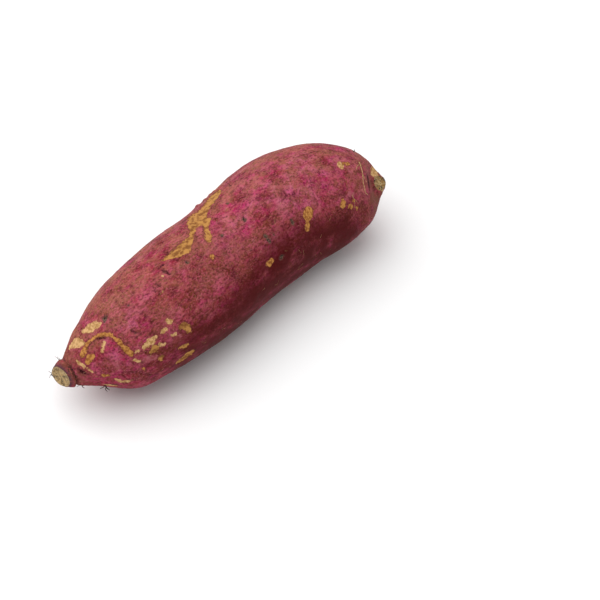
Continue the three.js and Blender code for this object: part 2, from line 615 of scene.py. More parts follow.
@dataclass(frozen=True)
class Bevel:
    """How the edge of an end is rounded off: steeply at the rim and gently behind it."""

    steep: float  # mm lost at the rim
    steep_over: float  # mm
    gentle: float
    gentle_over: float

    def lift(self, depth: np.ndarray) -> np.ndarray:
        """Millimetres that the edge stands out, less than nothing."""
        return -self.steep * np.exp(-depth / self.steep_over) - self.gentle * hump(depth, 0, self.gentle_over)


@dataclass(frozen=True)
class Relief:
    """The heights and sizes of everything that stands out of the smoothed root."""

    lumps: tuple[Wave, ...] = (Wave(0.6, 34, 1), Wave(0.3, 13, 2), Wave(0.09, 4.5, 3, 2))
    furrows: Wave = Wave(0.1, 3.0, 4)  # they run along the root
    furrow_stretch: tuple[float, ...] = (0.1, 1, 1)
    wrinkles: Wave = Wave(0.06, 1.5, 5)  # they run round it
    wrinkle_stretch: tuple[float, ...] = (1, 0.22, 0.22)
    fades_over: float = 8.0  # mm from an end
    neck: Wave = Wave(0.8, 1.0, 6, 2)  # folds that run along the neck
    neck_length: float = 16.0  # mm along the root to one wave of the folds
    neck_turns: float = 2.4  # waves of the folds in a radius's turn
    neck_at: float = 12.0
    neck_spread: float = 9.0

    collar: Band = Band(0.35, 2.6, 1.5)
    collar_wave: Wave = Wave(0.5, 6.0, 7)
    groove: Band = Band(-0.8, 5.2, 1.0)
    groove_wave: Wave = Wave(0.5, 3.5, 8)
    groove_deg: float = 75.0  # where it is deepest
    groove_least: float = 0.25  # the share of its depth on the far side
    ragged: Wave = Wave(0.3, 1.8, 9, 2)
    ragged_at: float = 4.0
    ragged_spread: float = 4.5
    collar_bevel: Bevel = Bevel(steep=0.5, steep_over=0.5, gentle=0.7, gentle_over=2.4)

    knobs: Wave = Wave(0.9, 2.4, 10, 2)
    knobs_spread: float = 1.6
    tail_ring: Band = Band(-0.2, 2.2, 0.9)
    tail_bevel: Bevel = Bevel(steep=0.3, steep_over=0.4, gentle=0.6, gentle_over=1.8)

    mark_rough: Wave = Wave(0.35, 1.3, 11, 2)  # in shares of the mark's depth
    lip_out: float = 0.8  # how far the lip stands from a mark's edge, in slopes
    lip_spread: float = 0.6
    mark_edges: tuple[Wave, ...] = (Wave(0.5, 2.2, 14), Wave(0.3, 1.1, 15))  # how marks' edges wander

    fibres: tuple[Wave, ...] = (Wave(0.5, 1.5, 12, 2), Wave(0.35, 3.2, 13))  # of an end face
    dish: float = 0.35  # mm that an end face is sunk in the middle
    face_edge: float = 0.75  # the share of the radius where the fibres begin to lie down


@dataclass(frozen=True)
class Flank:
    """A soft-edged patch of the root's side."""

    along: float  # mm from the crown
    length: float  # mm over which it fades along the root
    round_deg: float
    width: float  # degrees over which it fades round it

    def share(self, along: np.ndarray, turn: np.ndarray) -> np.ndarray:
        """How much of it there is at places, from 0 to 1."""
        return hump(along, self.along, self.length) * hump(turn, self.round_deg, self.width)


@dataclass(frozen=True)
class Zones:
    """Where the skin is soiled, fibrous, browned or dusty, and where sheen, highlight and shade are painted.

    Distances are in millimetres and angles in degrees round from the top, towards -Y.
    """

    soil: Band = Band(1.0, 5.2, 1.2)  # in the groove behind the collar
    soil_deg: float = 75.0
    soil_least: float = 0.3
    rim: Band = Band(1.0, 0.0, 1.4)
    fibres: tuple[float, float] = (3.0, 12.0)  # from an end: where they begin and are all there
    resting: tuple[float, float] = (-0.85, -0.6)  # cosines of angles: no fibres where it rests
    neck: tuple[float, float] = (3.0, 16.0)
    tail: tuple[float, float] = (1.0, 15.0)
    tail_deg: float = 100.0
    tail_least: float = 0.2
    # The lower side's painted shade: its middle angle, its width and how it widens, fades and ends.
    shade_deg: float = 115.0
    shade_width: float = 58.0
    shade_wider: Band = Band(20.0, 110.0, 30.0)  # degrees more, in the middle
    shade_fade: tuple[float, float] = (28.0, 6.0)  # before and after its edge
    shade_crown: tuple[float, float] = (25.0, 55.0)
    shade_tail: tuple[float, float] = (1.0, 24.0)
    # Purple-red streaks on the top, and where a painted highlight lies over them.
    magenta_and_lit_top: tuple[Flank, Flank] = (Flank(130, 40, 10, 40), Flank(27, 16, 30, 42))
    brown: tuple[Flank, Flank] = (Flank(62, 26, 42, 34), Flank(152, 16, 70, 24))
    # Where the dust lies, on the top towards +Y, with a painted sheen along that edge.
    dust_and_sheen_deg: float = -62.0

    def shares(self, along: np.ndarray, left: np.ndarray, turn: np.ndarray) -> dict[str, np.ndarray]:
        """Measures how much of each zone there is.

        Args:
            along: Millimetres from the crown.
            left: Millimetres to the tail.
            turn: Degrees round from the top.

        Returns:
            Shares from 0 to 1, by the zone's name.
        """
        grooved = self.soil_least + (1 - self.soil_least) * towards(turn, self.soil_deg)
        lit = smoothstep(np.cos(np.radians(turn)), *self.resting)
        under = self.tail_least + (1 - self.tail_least) * towards(turn, self.tail_deg)
        # Painted shade on the lower side, fading out towards the crown and the tail.
        off_shade_middle = np.abs((turn - self.shade_deg + 180) % 360 - 180)
        edge = self.shade_width + self.shade_wider.lift(along)
        shade_share = 1 - smoothstep(off_shade_middle, edge - self.shade_fade[0], edge + self.shade_fade[1])
        shade_share = shade_share * smoothstep(along, *self.shade_crown) * smoothstep(left, *self.shade_tail)
        return {
            "neck_soil": self.soil.lift(along) * grooved,
            "cut_rim": self.rim.lift(along),
            "fibrous": smoothstep(np.minimum(along, left), *self.fibres) * lit,
            "neck_brown": 1 - smoothstep(along, *self.neck),
            "tail_brown": (1 - smoothstep(left, *self.tail)) * under,
            "deep_side": shade_share,
            "magenta_flank": np.maximum(*(flank.share(along, turn) for flank in self.magenta_and_lit_top)),
            "brown_flank": np.maximum(*(flank.share(along, turn) for flank in self.brown)),
            "dusty_back": towards(turn, self.dust_and_sheen_deg),
        }


@dataclass
class RootSkin:
    """The root's whole outside as one closed mesh: the cut crown, the skin and the tail's scar."""

    form: RootForm
    blemishes: Blemishes
    rings: int = 356
    girth: int = 256
    crown_rings: int = 12
    tail_rings: int = 9
    edge_step: float = 0.2  # mm between rings at the crown and tail
    body_step: float = 0.52  # mm between rings in the middle
    crowding: float = 0.05  # the share of the rings over which they open out from an end
    inset: float = 0.05  # mm inside an end at which its own ring is measured
    sharp_rims: tuple[float, float] = (1.0, 9.0)  # mm from an end: where smoothing begins and is full
    probe_step: float = 0.6  # mm either side of a place at which its slope is measured
    probe_deg: float = 3.0
    keep_off: tuple[float, float] = (2.0, 4.0)  # mm from the crown and tail that touch stays
    round_blur: float = 3.6  # degrees by which the facets are smoothed away round the root
    along_blur: float = 2.4  # mm by which they are smoothed away along it
    twist: float = 0.014  # radians in each mm by which slanting patterns wind round the root
    relief: Relief = Relief()
    zones: Zones = Zones()

    along: np.ndarray = field(init=False)
    round_deg: np.ndarray = field(init=False)
    reach: np.ndarray = field(init=False)
    finished: BVHTree = field(init=False)

    def __post_init__(self) -> None:
        """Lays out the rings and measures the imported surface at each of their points."""
        self.along = self.spaced_rings()
        self.round_deg = np.linspace(-180, 180, self.girth, endpoint=False)
        inside = np.clip(self.along, self.inset, self.form.length - self.inset)
        self.reach = self.smoothed(self.form.cast(inside, self.round_deg)[1])

    def spaced_rings(self) -> np.ndarray:
        """Distances of the rings from the crown, closer together at both ends.

        Returns:
            The distances, in millimetres.
        """
        share = np.linspace(0, 1, self.rings)
        ends = np.exp(-share / self.crowding) + np.exp(-(1 - share) / self.crowding)
        step = self.body_step - (self.body_step - self.edge_step) * np.clip(ends, 0, 1)
        walked = np.concatenate([[0], np.cumsum((step[1:] + step[:-1]) / 2)])
        return walked / walked[-1] * self.form.length

    def smoothed(self, reach: np.ndarray) -> np.ndarray:
        """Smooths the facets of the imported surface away, less so near its two rims.

        Args:
            reach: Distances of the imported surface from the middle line, for each ring and angle.

        Returns:
            The smoothed distances.
        """
        soft = blur(reach.T, self.round_blur / (360 / self.girth), wraps=True).T
        even = np.linspace(0, self.form.length, 2 * self.rings)
        columns = [np.interp(even, self.along, soft[:, j]) for j in range(self.girth)]
        softer = blur(np.stack(columns, axis=1), self.along_blur / (even[1] - even[0]), wraps=False)
        columns = [np.interp(self.along, even, softer[:, j]) for j in range(self.girth)]
        edge = np.minimum(self.along, self.form.length - self.along)
        held = smoothstep(edge, *self.sharp_rims)[:, None]
        return held * np.stack(columns, axis=1) + (1 - held) * soft

    def at(self, along: np.ndarray | float, round_deg: np.ndarray | float) -> np.ndarray:
        """Places on the smoothed surface.

        Args:
            along: Millimetres from the crown.
            round_deg: Degrees round from the top, towards -Y.

        Returns:
            The points, in millimetres.
        """
        along = np.atleast_1d(np.asarray(along, float))
        turn = np.atleast_1d(np.asarray(round_deg, float))
        ring = np.clip(np.interp(along, self.along, np.arange(self.rings)), 0, self.rings - 1.001)
        column = (turn + 180) % 360 * self.girth / 360
        i, j = ring.astype(int), column.astype(int) % self.girth
        u, v = ring - i, column - column.astype(int)
        k = (j + 1) % self.girth
        near = (1 - v) * self.reach[i, j] + v * self.reach[i, k]
        far = (1 - v) * self.reach[i + 1, j] + v * self.reach[i + 1, k]
        reach = (1 - u) * near + u * far
        place, run, across, rise = self.form.frames(along)
        angle = np.radians(turn)
        way = np.cos(angle)[:, None] * rise + np.sin(angle)[:, None] * across
        return place + reach[:, None] * way + self.shift(along, angle, reach, (run, across, rise))

    def shift(
        self, along: np.ndarray, turn: np.ndarray, reach: np.ndarray, axes: tuple[np.ndarray, ...]
    ) -> np.ndarray:
        """How far the slanted faces and the off-centre ends move points.

        Args:
            along: Millimetres from the crown.
            turn: Radians round from the top, towards -Y.
            reach: Distances from the middle line.
            axes: The directions along the root, across it and up from it.

        Returns:
            The moves, in millimetres, with x, y and z along the last axis.
        """
        run, across, rise = axes
        left = self.form.length - along
        slide = CROWN_SLANT.shift(along, turn, reach) - TAIL_SLANT.shift(left, turn, reach)
        moved = slide[..., None] * run
        for offset, depth in ((CROWN_OFFSET, along), (TAIL_OFFSET, left)):
            side = offset.side * (1 - smoothstep(depth, 0.0, offset.fades_over))
            angle = math.radians(offset.round_deg)
            moved = moved + side[..., None] * (math.cos(angle) * rise + math.sin(angle) * across)
        return moved

    def outward(self, along: float, round_deg: float) -> np.ndarray:
        """The way that the smoothed surface faces at a place.

        Args:
            along: Millimetres from the crown.
            round_deg: Degrees round from the top, towards -Y.

        Returns:
            The direction, at length one.
        """
        step, swing = self.probe_step, self.probe_deg
        run = self.at(along + step, round_deg)[0] - self.at(along - step, round_deg)[0]
        turn = self.at(along, round_deg + swing)[0] - self.at(along, round_deg - swing)[0]
        return unit(np.cross(run, turn))

    def touch(self, along: float, round_deg: float) -> tuple[np.ndarray, np.ndarray]:
        """Finds the finished skin at a place.

        Args:
            along: Millimetres from the crown.
            round_deg: Degrees round from the top, towards -Y.

        Returns:
            The point on the skin, in millimetres, and the way that the smoothed skin faces there.
        """
        inside = min(max(along, self.keep_off[0]), self.form.length - self.keep_off[1])
        place, run, across, rise = (v[0] for v in self.form.frames(np.array([inside])))
        angle = math.radians(round_deg)
        way = math.cos(angle) * rise + math.sin(angle) * across
        hit = self.finished.ray_cast(Vector(place), Vector(way))[0]
        out = self.outward(inside, round_deg)
        return np.array(hit) + (along - inside) * run, out * np.sign(out @ way)

    def layout(self) -> tuple[np.ndarray, np.ndarray, np.ndarray]:
        """Lays the rings of the crown's cut, the body and the tail's scar in one stack.

        Returns:
            Each point's place, the way it faces, and its place on a straightened root.
        """
        place, run, across, rise = self.form.frames(self.along)
        angle = np.radians(self.round_deg)[None, :, None]
        way = np.cos(angle) * rise[:, None] + np.sin(angle) * across[:, None]
        axes = (run[:, None], across[:, None], rise[:, None])
        moved = self.shift(self.along[:, None], np.radians(self.round_deg)[None], self.reach, axes)
        body = place[:, None, :] + self.reach[..., None] * way + moved
        along = np.broadcast_to(self.along[:, None, None], (*self.reach.shape, 1))
        turned = [np.sin(angle) * self.reach[..., None], np.cos(angle) * self.reach[..., None]]
        straight = np.concatenate([along, *turned], axis=-1)
        parts = []
        for stack in (body, straight):
            crown = self.face_rings(stack[0], self.crown_rings)
            tail = self.face_rings(stack[-1], self.tail_rings)[::-1]
            parts.append(np.concatenate([crown, stack, tail]))
        ends = [
            np.broadcast_to(self.facing(rim, normal), (count, self.girth, 3))
            for rim, (_, normal), count in zip(
                (body[0], body[-1]), self.form.ends, (self.crown_rings, self.tail_rings)
            )
        ]
        return parts[0], np.concatenate([ends[0], way, ends[1]]), parts[1]

    def facing(self, rim: np.ndarray, near: np.ndarray) -> np.ndarray:
        """The way that a face with this rim points, on the same side as near.

        Args:
            rim: The rim's points.
            near: A direction on the side wanted.

        Returns:
            The face's normal.
        """
        spokes = rim - rim.mean(axis=0)
        normal = unit(np.cross(spokes, np.roll(spokes, -1, axis=0)).sum(axis=0))
        return normal * np.sign(normal @ near)

    def face_rings(self, rim: np.ndarray, rings: int) -> np.ndarray:
        """Rings that fill an end face, from near its middle out to just inside its rim.

        Args:
            rim: The rim's points.
            rings: How many rings there are.

        Returns:
            The rings' points.
        """
        middle = rim.mean(axis=0)
        share = (np.arange(rings) + 1.0)[:, None, None] / (rings + 1)
        return middle + share * (rim[None] - middle)

    def body_relief(self, points: np.ndarray, grown: np.ndarray) -> np.ndarray:
        """How far the lumps, furrows and wrinkles stand out, in millimetres.

        Args:
            points: The skin's points, in millimetres.
            grown: Their places on a straightened root.

        Returns:
            The height at each point.
        """
        size = self.relief
        along = grown[..., 0]
        turn = np.arctan2(grown[..., 1], grown[..., 2])
        lumps = sum(wave.lift(points) for wave in size.lumps)
        furrows = size.furrows.lift(grown * size.furrow_stretch)
        wrinkles = size.wrinkles.lift(grown * size.wrinkle_stretch)
        circle = np.stack(
            [along / size.neck_length, size.neck_turns * np.cos(turn), size.neck_turns * np.sin(turn)],
            axis=-1,
        )
        neck = size.neck.lift(circle) * hump(along, size.neck_at, size.neck_spread)
        edge = np.minimum(along, self.form.length - along)
        return (lumps + furrows + wrinkles) * smoothstep(edge, 0.0, size.fades_over) + neck

    def collar_relief(self, points: np.ndarray, grown: np.ndarray) -> np.ndarray:
        """The rolled collar behind the cut crown, and the groove behind that.

        Args:
            points: The skin's points, in millimetres.
            grown: Their places on a straightened root.

        Returns:
            The height at each point, in millimetres.
        """
        size = self.relief
        along = grown[..., 0]
        turn = np.degrees(np.arctan2(grown[..., 1], grown[..., 2]))
        collar = size.collar.lift(along) * (1 + size.collar_wave.lift(points))
        cleft = size.groove_least + (1 - size.groove_least) * towards(turn, size.groove_deg)
        groove = size.groove.lift(along) * cleft * (1 + size.groove_wave.lift(points))
        ragged = size.ragged.lift(points) * hump(along, size.ragged_at, size.ragged_spread)
        return collar + groove + ragged + size.collar_bevel.lift(along)

    def tail_relief(self, points: np.ndarray, grown: np.ndarray) -> np.ndarray:
        """The knobbly stub of the tail, with a shallow ring round it.

        Args:
            points: The skin's points, in millimetres.
            grown: Their places on a straightened root.

        Returns:
            The height at each point, in millimetres.
        """
        size = self.relief
        left = self.form.length - grown[..., 0]
        knobs = size.knobs.lift(points) * hump(left, 0, size.knobs_spread)
        return knobs + size.tail_ring.lift(left) + size.tail_bevel.lift(left)

    def mark_relief(self, inside: dict[Tone, np.ndarray], points: np.ndarray) -> np.ndarray:
        """How far the marks are sunk into the skin or stand out of it.

        Args:
            inside: How far inside each kind of mark the points lie.
            points: The skin's points, in millimetres.

        Returns:
            The height at each point, in millimetres.
        """
        size = self.relief
        total = np.zeros(points.shape[:-1])
        rough = size.mark_rough.lift(points)
        for tone, seat in SEATS.items():
            depth = inside[tone]
            held = smoothstep(depth, -seat.slope / 2, seat.slope / 2)
            total -= seat.sunk * held * (1 - rough)
            total += seat.lip * hump(depth, -size.lip_out * seat.slope, size.lip_spread * seat.slope)
        return total

    def swelling_relief(self, points: np.ndarray) -> np.ndarray:
        """The named lumps and hollows.

        Args:
            points: The skin's points, in millimetres.

        Returns:
            The height at each point, in millimetres.
        """
        total = np.zeros(points.shape[:-1])
        for s in SWELLINGS:
            off = np.linalg.norm(points - self.at(s.along, s.round_deg)[0], axis=-1)
            total += s.height * hump(off, 0, s.spread)
        return total

    def face_relief(self, points: np.ndarray, grown: np.ndarray, rim: float) -> np.ndarray:
        """How the torn fibres of an end face stand up, nothing at its rim.

        Args:
            points: The skin's points, in millimetres.
            grown: Their places on a straightened root.
            rim: The face's radius, in millimetres.

        Returns:
            The height at each point, in millimetres.
        """
        size = self.relief
        out = np.linalg.norm(grown[..., 1:], axis=-1) / rim
        fibres = sum(wave.lift(points) for wave in size.fibres)
        return (fibres - size.dish * (1 - out**2)) * (1 - smoothstep(out, size.face_edge, 1.0))

    def build(self) -> bpy.types.Object:
        """Makes the mesh, with what its finish needs to know about each point.

        Returns:
            The root's object.
        """
        points, way, grown = self.layout()
        wander = sum(wave.lift(points) for wave in self.relief.mark_edges)
        inside = {tone: self.blemishes.inside(tone, self, points) + wander for tone in Tone}
        body = slice(self.crown_rings, self.crown_rings + self.rings)
        lift = np.zeros(points.shape[:-1])
        lift[body] = (
            self.body_relief(points[body], grown[body])
            + self.collar_relief(points[body], grown[body])
            + self.tail_relief(points[body], grown[body])
            + self.mark_relief({t: d[body] for t, d in inside.items()}, points[body])
            + self.swelling_relief(points[body])
        )
        first, last = self.crown_rings, self.crown_rings + self.rings - 1
        for part, edge in ((slice(0, first), first), (slice(last + 1, None), last)):
            rim = points[edge] + lift[edge][:, None] * way[edge]
            rings = self.face_rings(rim, len(points[part]))
            points[part] = rings if edge == first else rings[::-1]
            radius = np.linalg.norm(grown[edge, :, 1:], axis=-1).mean()
            lift[part] = self.face_relief(points[part], grown[part], radius)
        points = points + lift[..., None] * way
        points[..., 2] = np.maximum(points[..., 2], 0.0)
        root = self.to_object(points, grown, inside)
        solid = bmesh.new()
        solid.from_mesh(root.data)
        bmesh.ops.scale(solid, vec=Vector((1, 1, 1)) / MM, verts=solid.verts)
        self.finished = BVHTree.FromBMesh(solid)
        solid.free()
        return root

    def to_object(
        self, points: np.ndarray, grown: np.ndarray, inside: dict[Tone, np.ndarray]
    ) -> bpy.types.Object:
        """Joins rings of points into a closed mesh, with a pole at each end.

        Args:
            points: Rings of points, in millimetres, from the crown to the tail.
            grown: Their places on a straightened root.
            inside: How far inside each kind of mark they lie.

        Returns:
            The object, with attributes for its finish.
        """
        count, girth = points.shape[:2]
        verts = self.with_poles(points) * MM
        after = (np.arange(girth) + 1) % girth
        first, last = count * girth, count * girth + 1
        faces = [
            (i * girth + j, i * girth + k, (i + 1) * girth + k, (i + 1) * girth + j)
            for i in range(count - 1)
            for j, k in enumerate(after.tolist())
        ]
        faces += [(first, k, j) for j, k in enumerate(after.tolist())]
        base = (count - 1) * girth
        faces += [(last, base + j, base + k) for j, k in enumerate(after.tolist())]
        mesh = bpy.data.meshes.new("whole_root")
        mesh.from_pydata(verts.tolist(), [], faces)
        self.store(mesh, grown, inside)
        crown_faces = self.crown_rings * girth
        tail_faces = (self.crown_rings + self.rings - 1) * girth
        quads = (count - 1) * girth
        slots = np.zeros(len(faces), int)
        slots[:crown_faces] = slots[quads : quads + girth] = 1
        slots[tail_faces:quads] = slots[quads + girth :] = 2
        mesh.polygons.foreach_set("material_index", slots)
        mesh.polygons.foreach_set("use_smooth", [True] * len(faces))
        tidy = bmesh.new()
        tidy.from_mesh(mesh)
        bmesh.ops.recalc_face_normals(tidy, faces=tidy.faces)
        tidy.to_mesh(mesh)
        tidy.free()
        piece = bpy.data.objects.new("whole_root", mesh)
        bpy.context.scene.collection.objects.link(piece)
        return piece

    def with_poles(self, values: np.ndarray) -> np.ndarray:
        """Values of all rings in one list, followed by those of the crown's and tail's poles."""
        flat = values.reshape(-1, values.shape[-1])
        return np.concatenate([flat, [values[0].mean(axis=0)], [values[-1].mean(axis=0)]])

    def store(self, mesh: bpy.types.Mesh, grown: np.ndarray, inside: dict[Tone, np.ndarray]) -> None:
        """Writes what the finish reads: straightened and twisted places, marks, and zones of soil, colour and
        painted light.

        Args:
            mesh: The root's mesh.
            grown: Their places on a straightened root.
            inside: How far inside each kind of mark the points lie.
        """
        places = {"grown_place": grown}
        for name, sign in (("left_twist", 1), ("right_twist", -1)):
            turn = sign * self.twist * grown[..., 0]
            places[name] = np.stack(
                [
                    grown[..., 0],
                    grown[..., 1] * np.cos(turn) - grown[..., 2] * np.sin(turn),
                    grown[..., 1] * np.sin(turn) + grown[..., 2] * np.cos(turn),
                ],
                axis=-1,
            )
        for name, values in places.items():
            layer = mesh.attributes.new(name, "FLOAT_VECTOR", "POINT")
            flat = self.with_poles(values) * MM
            layer.data.foreach_set("vector", flat.astype(np.float32).ravel())
        along = grown[..., 0]
        turn = np.degrees(np.arctan2(grown[..., 1], grown[..., 2]))
        zones = {tone.value: values for tone, values in inside.items()}
        zones |= self.zones.shares(along, self.form.length - along, turn)
        for name, values in zones.items():
            layer = mesh.attributes.new(name, "FLOAT", "POINT")
            flat = self.with_poles(np.asarray(values)[..., None])
            layer.data.foreach_set("value", flat.astype(np.float32).ravel())


# ---------------------------------------------------------------------------------------------------
# Rootlets, hairs and fibres


@dataclass(frozen=True)
class Strand:
    """One rootlet, hair or fibre.

    Each point is millimetres from the crown, degrees round from the top, and millimetres off the skin.
    """

    half: float  # mm, half its thickness where it starts
    points: tuple[tuple[float, float, float], ...]


# The short dead rootlets round the collar and under the neck, and five stubs further along.
ROOTLETS = (
    Strand(0.14, ((4.2, -48, -0.3), (4.0, -49, 1.2), (3.4, -50, 2.6))),
    Strand(0.11, ((4.6, -38, -0.3), (4.4, -40, 0.9), (4.4, -45, 1.7))),
    Strand(0.20, ((-0.7, -131, -2.4), (-0.8, -129, -1.2), (-0.3, -126, 0.2), (-0.2, -122, 1.6))),
    Strand(0.14, ((-0.2, -122, 1.6), (-0.6, -118, 2.9))),
    Strand(0.15, ((-0.3, -126, 0.2), (-1.2, -132, 0.9), (-1.8, -137, 1.0))),
    Strand(0.12, ((1.5, -133, 0.9), (1.2, -128, 1.8), (0.3, -127, 2.2))),
    Strand(0.20, ((5.2, 22, -0.3), (5.6, 26, 0.9), (6.6, 33, 1.3))),
    Strand(0.17, ((5.0, 30, -0.3), (4.6, 38, 0.8), (5.3, 47, 1.2))),
    Strand(0.15, ((5.4, 38, -0.2), (6.4, 41, 0.7), (7.6, 40, 0.6))),
    Strand(0.17, ((5.3, 52, -0.2), (5.8, 60, 0.8), (5.2, 68, 1.0))),
    Strand(0.24, ((7.4, 118, -0.4), (7.8, 119, 0.6), (8.6, 120, 1.1))),
    Strand(0.18, ((7.2, 114, -0.3), (6.4, 116, 0.7), (5.9, 120, 1.1))),
    Strand(0.34, ((15.8, 116, -0.4), (16.2, 117, 0.7), (17.3, 118, 1.7))),
    Strand(0.26, ((16.0, 115, -0.3), (15.2, 116, 0.8), (14.2, 118, 1.3))),
    Strand(0.20, ((16.3, 117, 0.4), (16.0, 120, 1.3), (16.8, 123, 2.1))),
    Strand(0.16, ((26.9, 0, -0.3), (27.4, -2, 0.7), (28.4, -3, 0.9))),
    Strand(0.17, ((102.8, 14, -0.3), (103.3, 12, 0.6), (104.4, 11, 0.7))),
    Strand(0.16, ((106.2, 67, -0.3), (107.0, 66, 0.6), (108.3, 67, 0.5))),
    Strand(0.15, ((114.9, -32, -0.3), (115.3, -33, 0.9), (115.2, -36, 1.3))),
    Strand(0.30, ((168.8, -31, -0.4), (169.2, -32, 0.6), (169.0, -33, 1.2))),
)

# The dry fibre that lies across the tail, with its side branches.
TAIL_FIBRE = (
    Strand(
        0.24,
        (
            (171.2, -3, 0.2), (171.6, 3, 0.4), (172.1, 14, 0.4), (172.3, 22, 0.4),
            (172.3, 37, 0.4),
        ),
    ),
    Strand(0.20, ((172.3, 37, 0.4), (172.6, 45, 0.4), (172.7, 52, 0.5), (173.2, 57, 0.8))),
    Strand(0.14, ((172.2, 18, 0.4), (172.9, 27, 0.3), (173.5, 34, 0.4))),
    Strand(0.15, ((171.6, 0, 0.2), (170.4, 8, 0.2), (169.8, 16, 0.2))),
    Strand(0.09, ((165.2, 50, 0.1), (166.4, 56, 0.2), (168.1, 60, 0.2), (169.3, 66, 0.1))),
    Strand(0.08, ((167.3, 58, 0.2), (166.2, 63, 0.2), (165.9, 68, 0.1))),
)


@dataclass
class Growth:
    """Thin strands with set places, swept along their paths by one node tree."""

    name: str
    strands: tuple[Strand, ...]
    step: float = 0.25  # mm between the rings of a strand
    wander: float = 0.35  # mm by which a strand strays from its path
    clearance: float = 0.7  # mm over the floor that a path keeps
    grain: float = 1.1  # mm between one bend and the next
    sides: int = 6
    thin: float = 0.6  # the share of its thickness that a strand loses by its tip
    seed: float = 3.0

    def paths(self, skin: "RootSkin") -> bpy.types.Object:
        """Lays each strand's path on the finished skin, as a chain of edges.

        Args:
            skin: The finished skin.

        Returns:
            An object with the paths and each one's half thickness.
        """
        verts, edges, halves = [], [], []
        for strand in self.strands:
            first = len(verts)
            for along, turn, off in strand.points:
                place, out = skin.touch(along, turn)
                spot = place + off * out
                spot[2] = max(spot[2], self.clearance)
                verts.append(spot * MM)
                halves.append(strand.half * MM)
            edges += [(i, i + 1) for i in range(first, len(verts) - 1)]
        mesh = bpy.data.meshes.new(self.name)
        mesh.from_pydata([tuple(v) for v in verts], edges, [])
        mesh.attributes.new("half", "FLOAT", "POINT").data.foreach_set("value", halves)
        piece = bpy.data.objects.new(self.name, mesh)
        bpy.context.scene.collection.objects.link(piece)
        return piece

    def tree(self) -> bpy.types.GeometryNodeTree:
        """Builds the nodes that bend a strand and sweep its round section along it.

        Returns:
            The tree.
        """
        tree = bpy.data.node_groups.new("strand_sweep", "GeometryNodeTree")
        sizes = {"Step": "Float", "Wander": "Float", "Grain": "Float", "Thin": "Float", "Seed": "Float"}
        given = open_tree(tree, sizes | {"Sides": "Int", "Finish": "Material"})
        curve = add(tree, "GeometryNodeMeshToCurve", inputs={0: given.outputs["Geometry"]})
        settings = {"spline_type": "CATMULL_ROM"}
        smooth = add(tree, "GeometryNodeCurveSplineType", settings, {0: curve.outputs[0]})
        fine = add(
            tree,
            "GeometryNodeResampleCurve",
            {"mode": "LENGTH"},
            {"Curve": smooth.outputs[0], "Length": given.outputs["Step"]},
        )
        bent = stray(tree, fine.outputs[0], given)
        half = add(tree, "GeometryNodeInputNamedAttribute", {"data_type": "FLOAT"}, {"Name": "half"})
        swept = sweep(tree, bent, half.outputs[0], given)
        close_tree(tree, swept, given)
        return tree

    def build(self, skin: "RootSkin", finish: bpy.types.Material) -> bpy.types.Object:
        """Makes the strands' mesh.

        Args:
            skin: The finished skin that they grow on.
            finish: Their material.

        Returns:
            The strands as one plain mesh.
        """
        sizes = {"Step": self.step * MM, "Wander": self.wander * MM, "Grain": self.grain * MM}
        sizes |= {"Thin": self.thin, "Seed": self.seed, "Sides": self.sides, "Finish": finish}
        return grown_mesh(self.paths(skin), self.tree(), sizes)


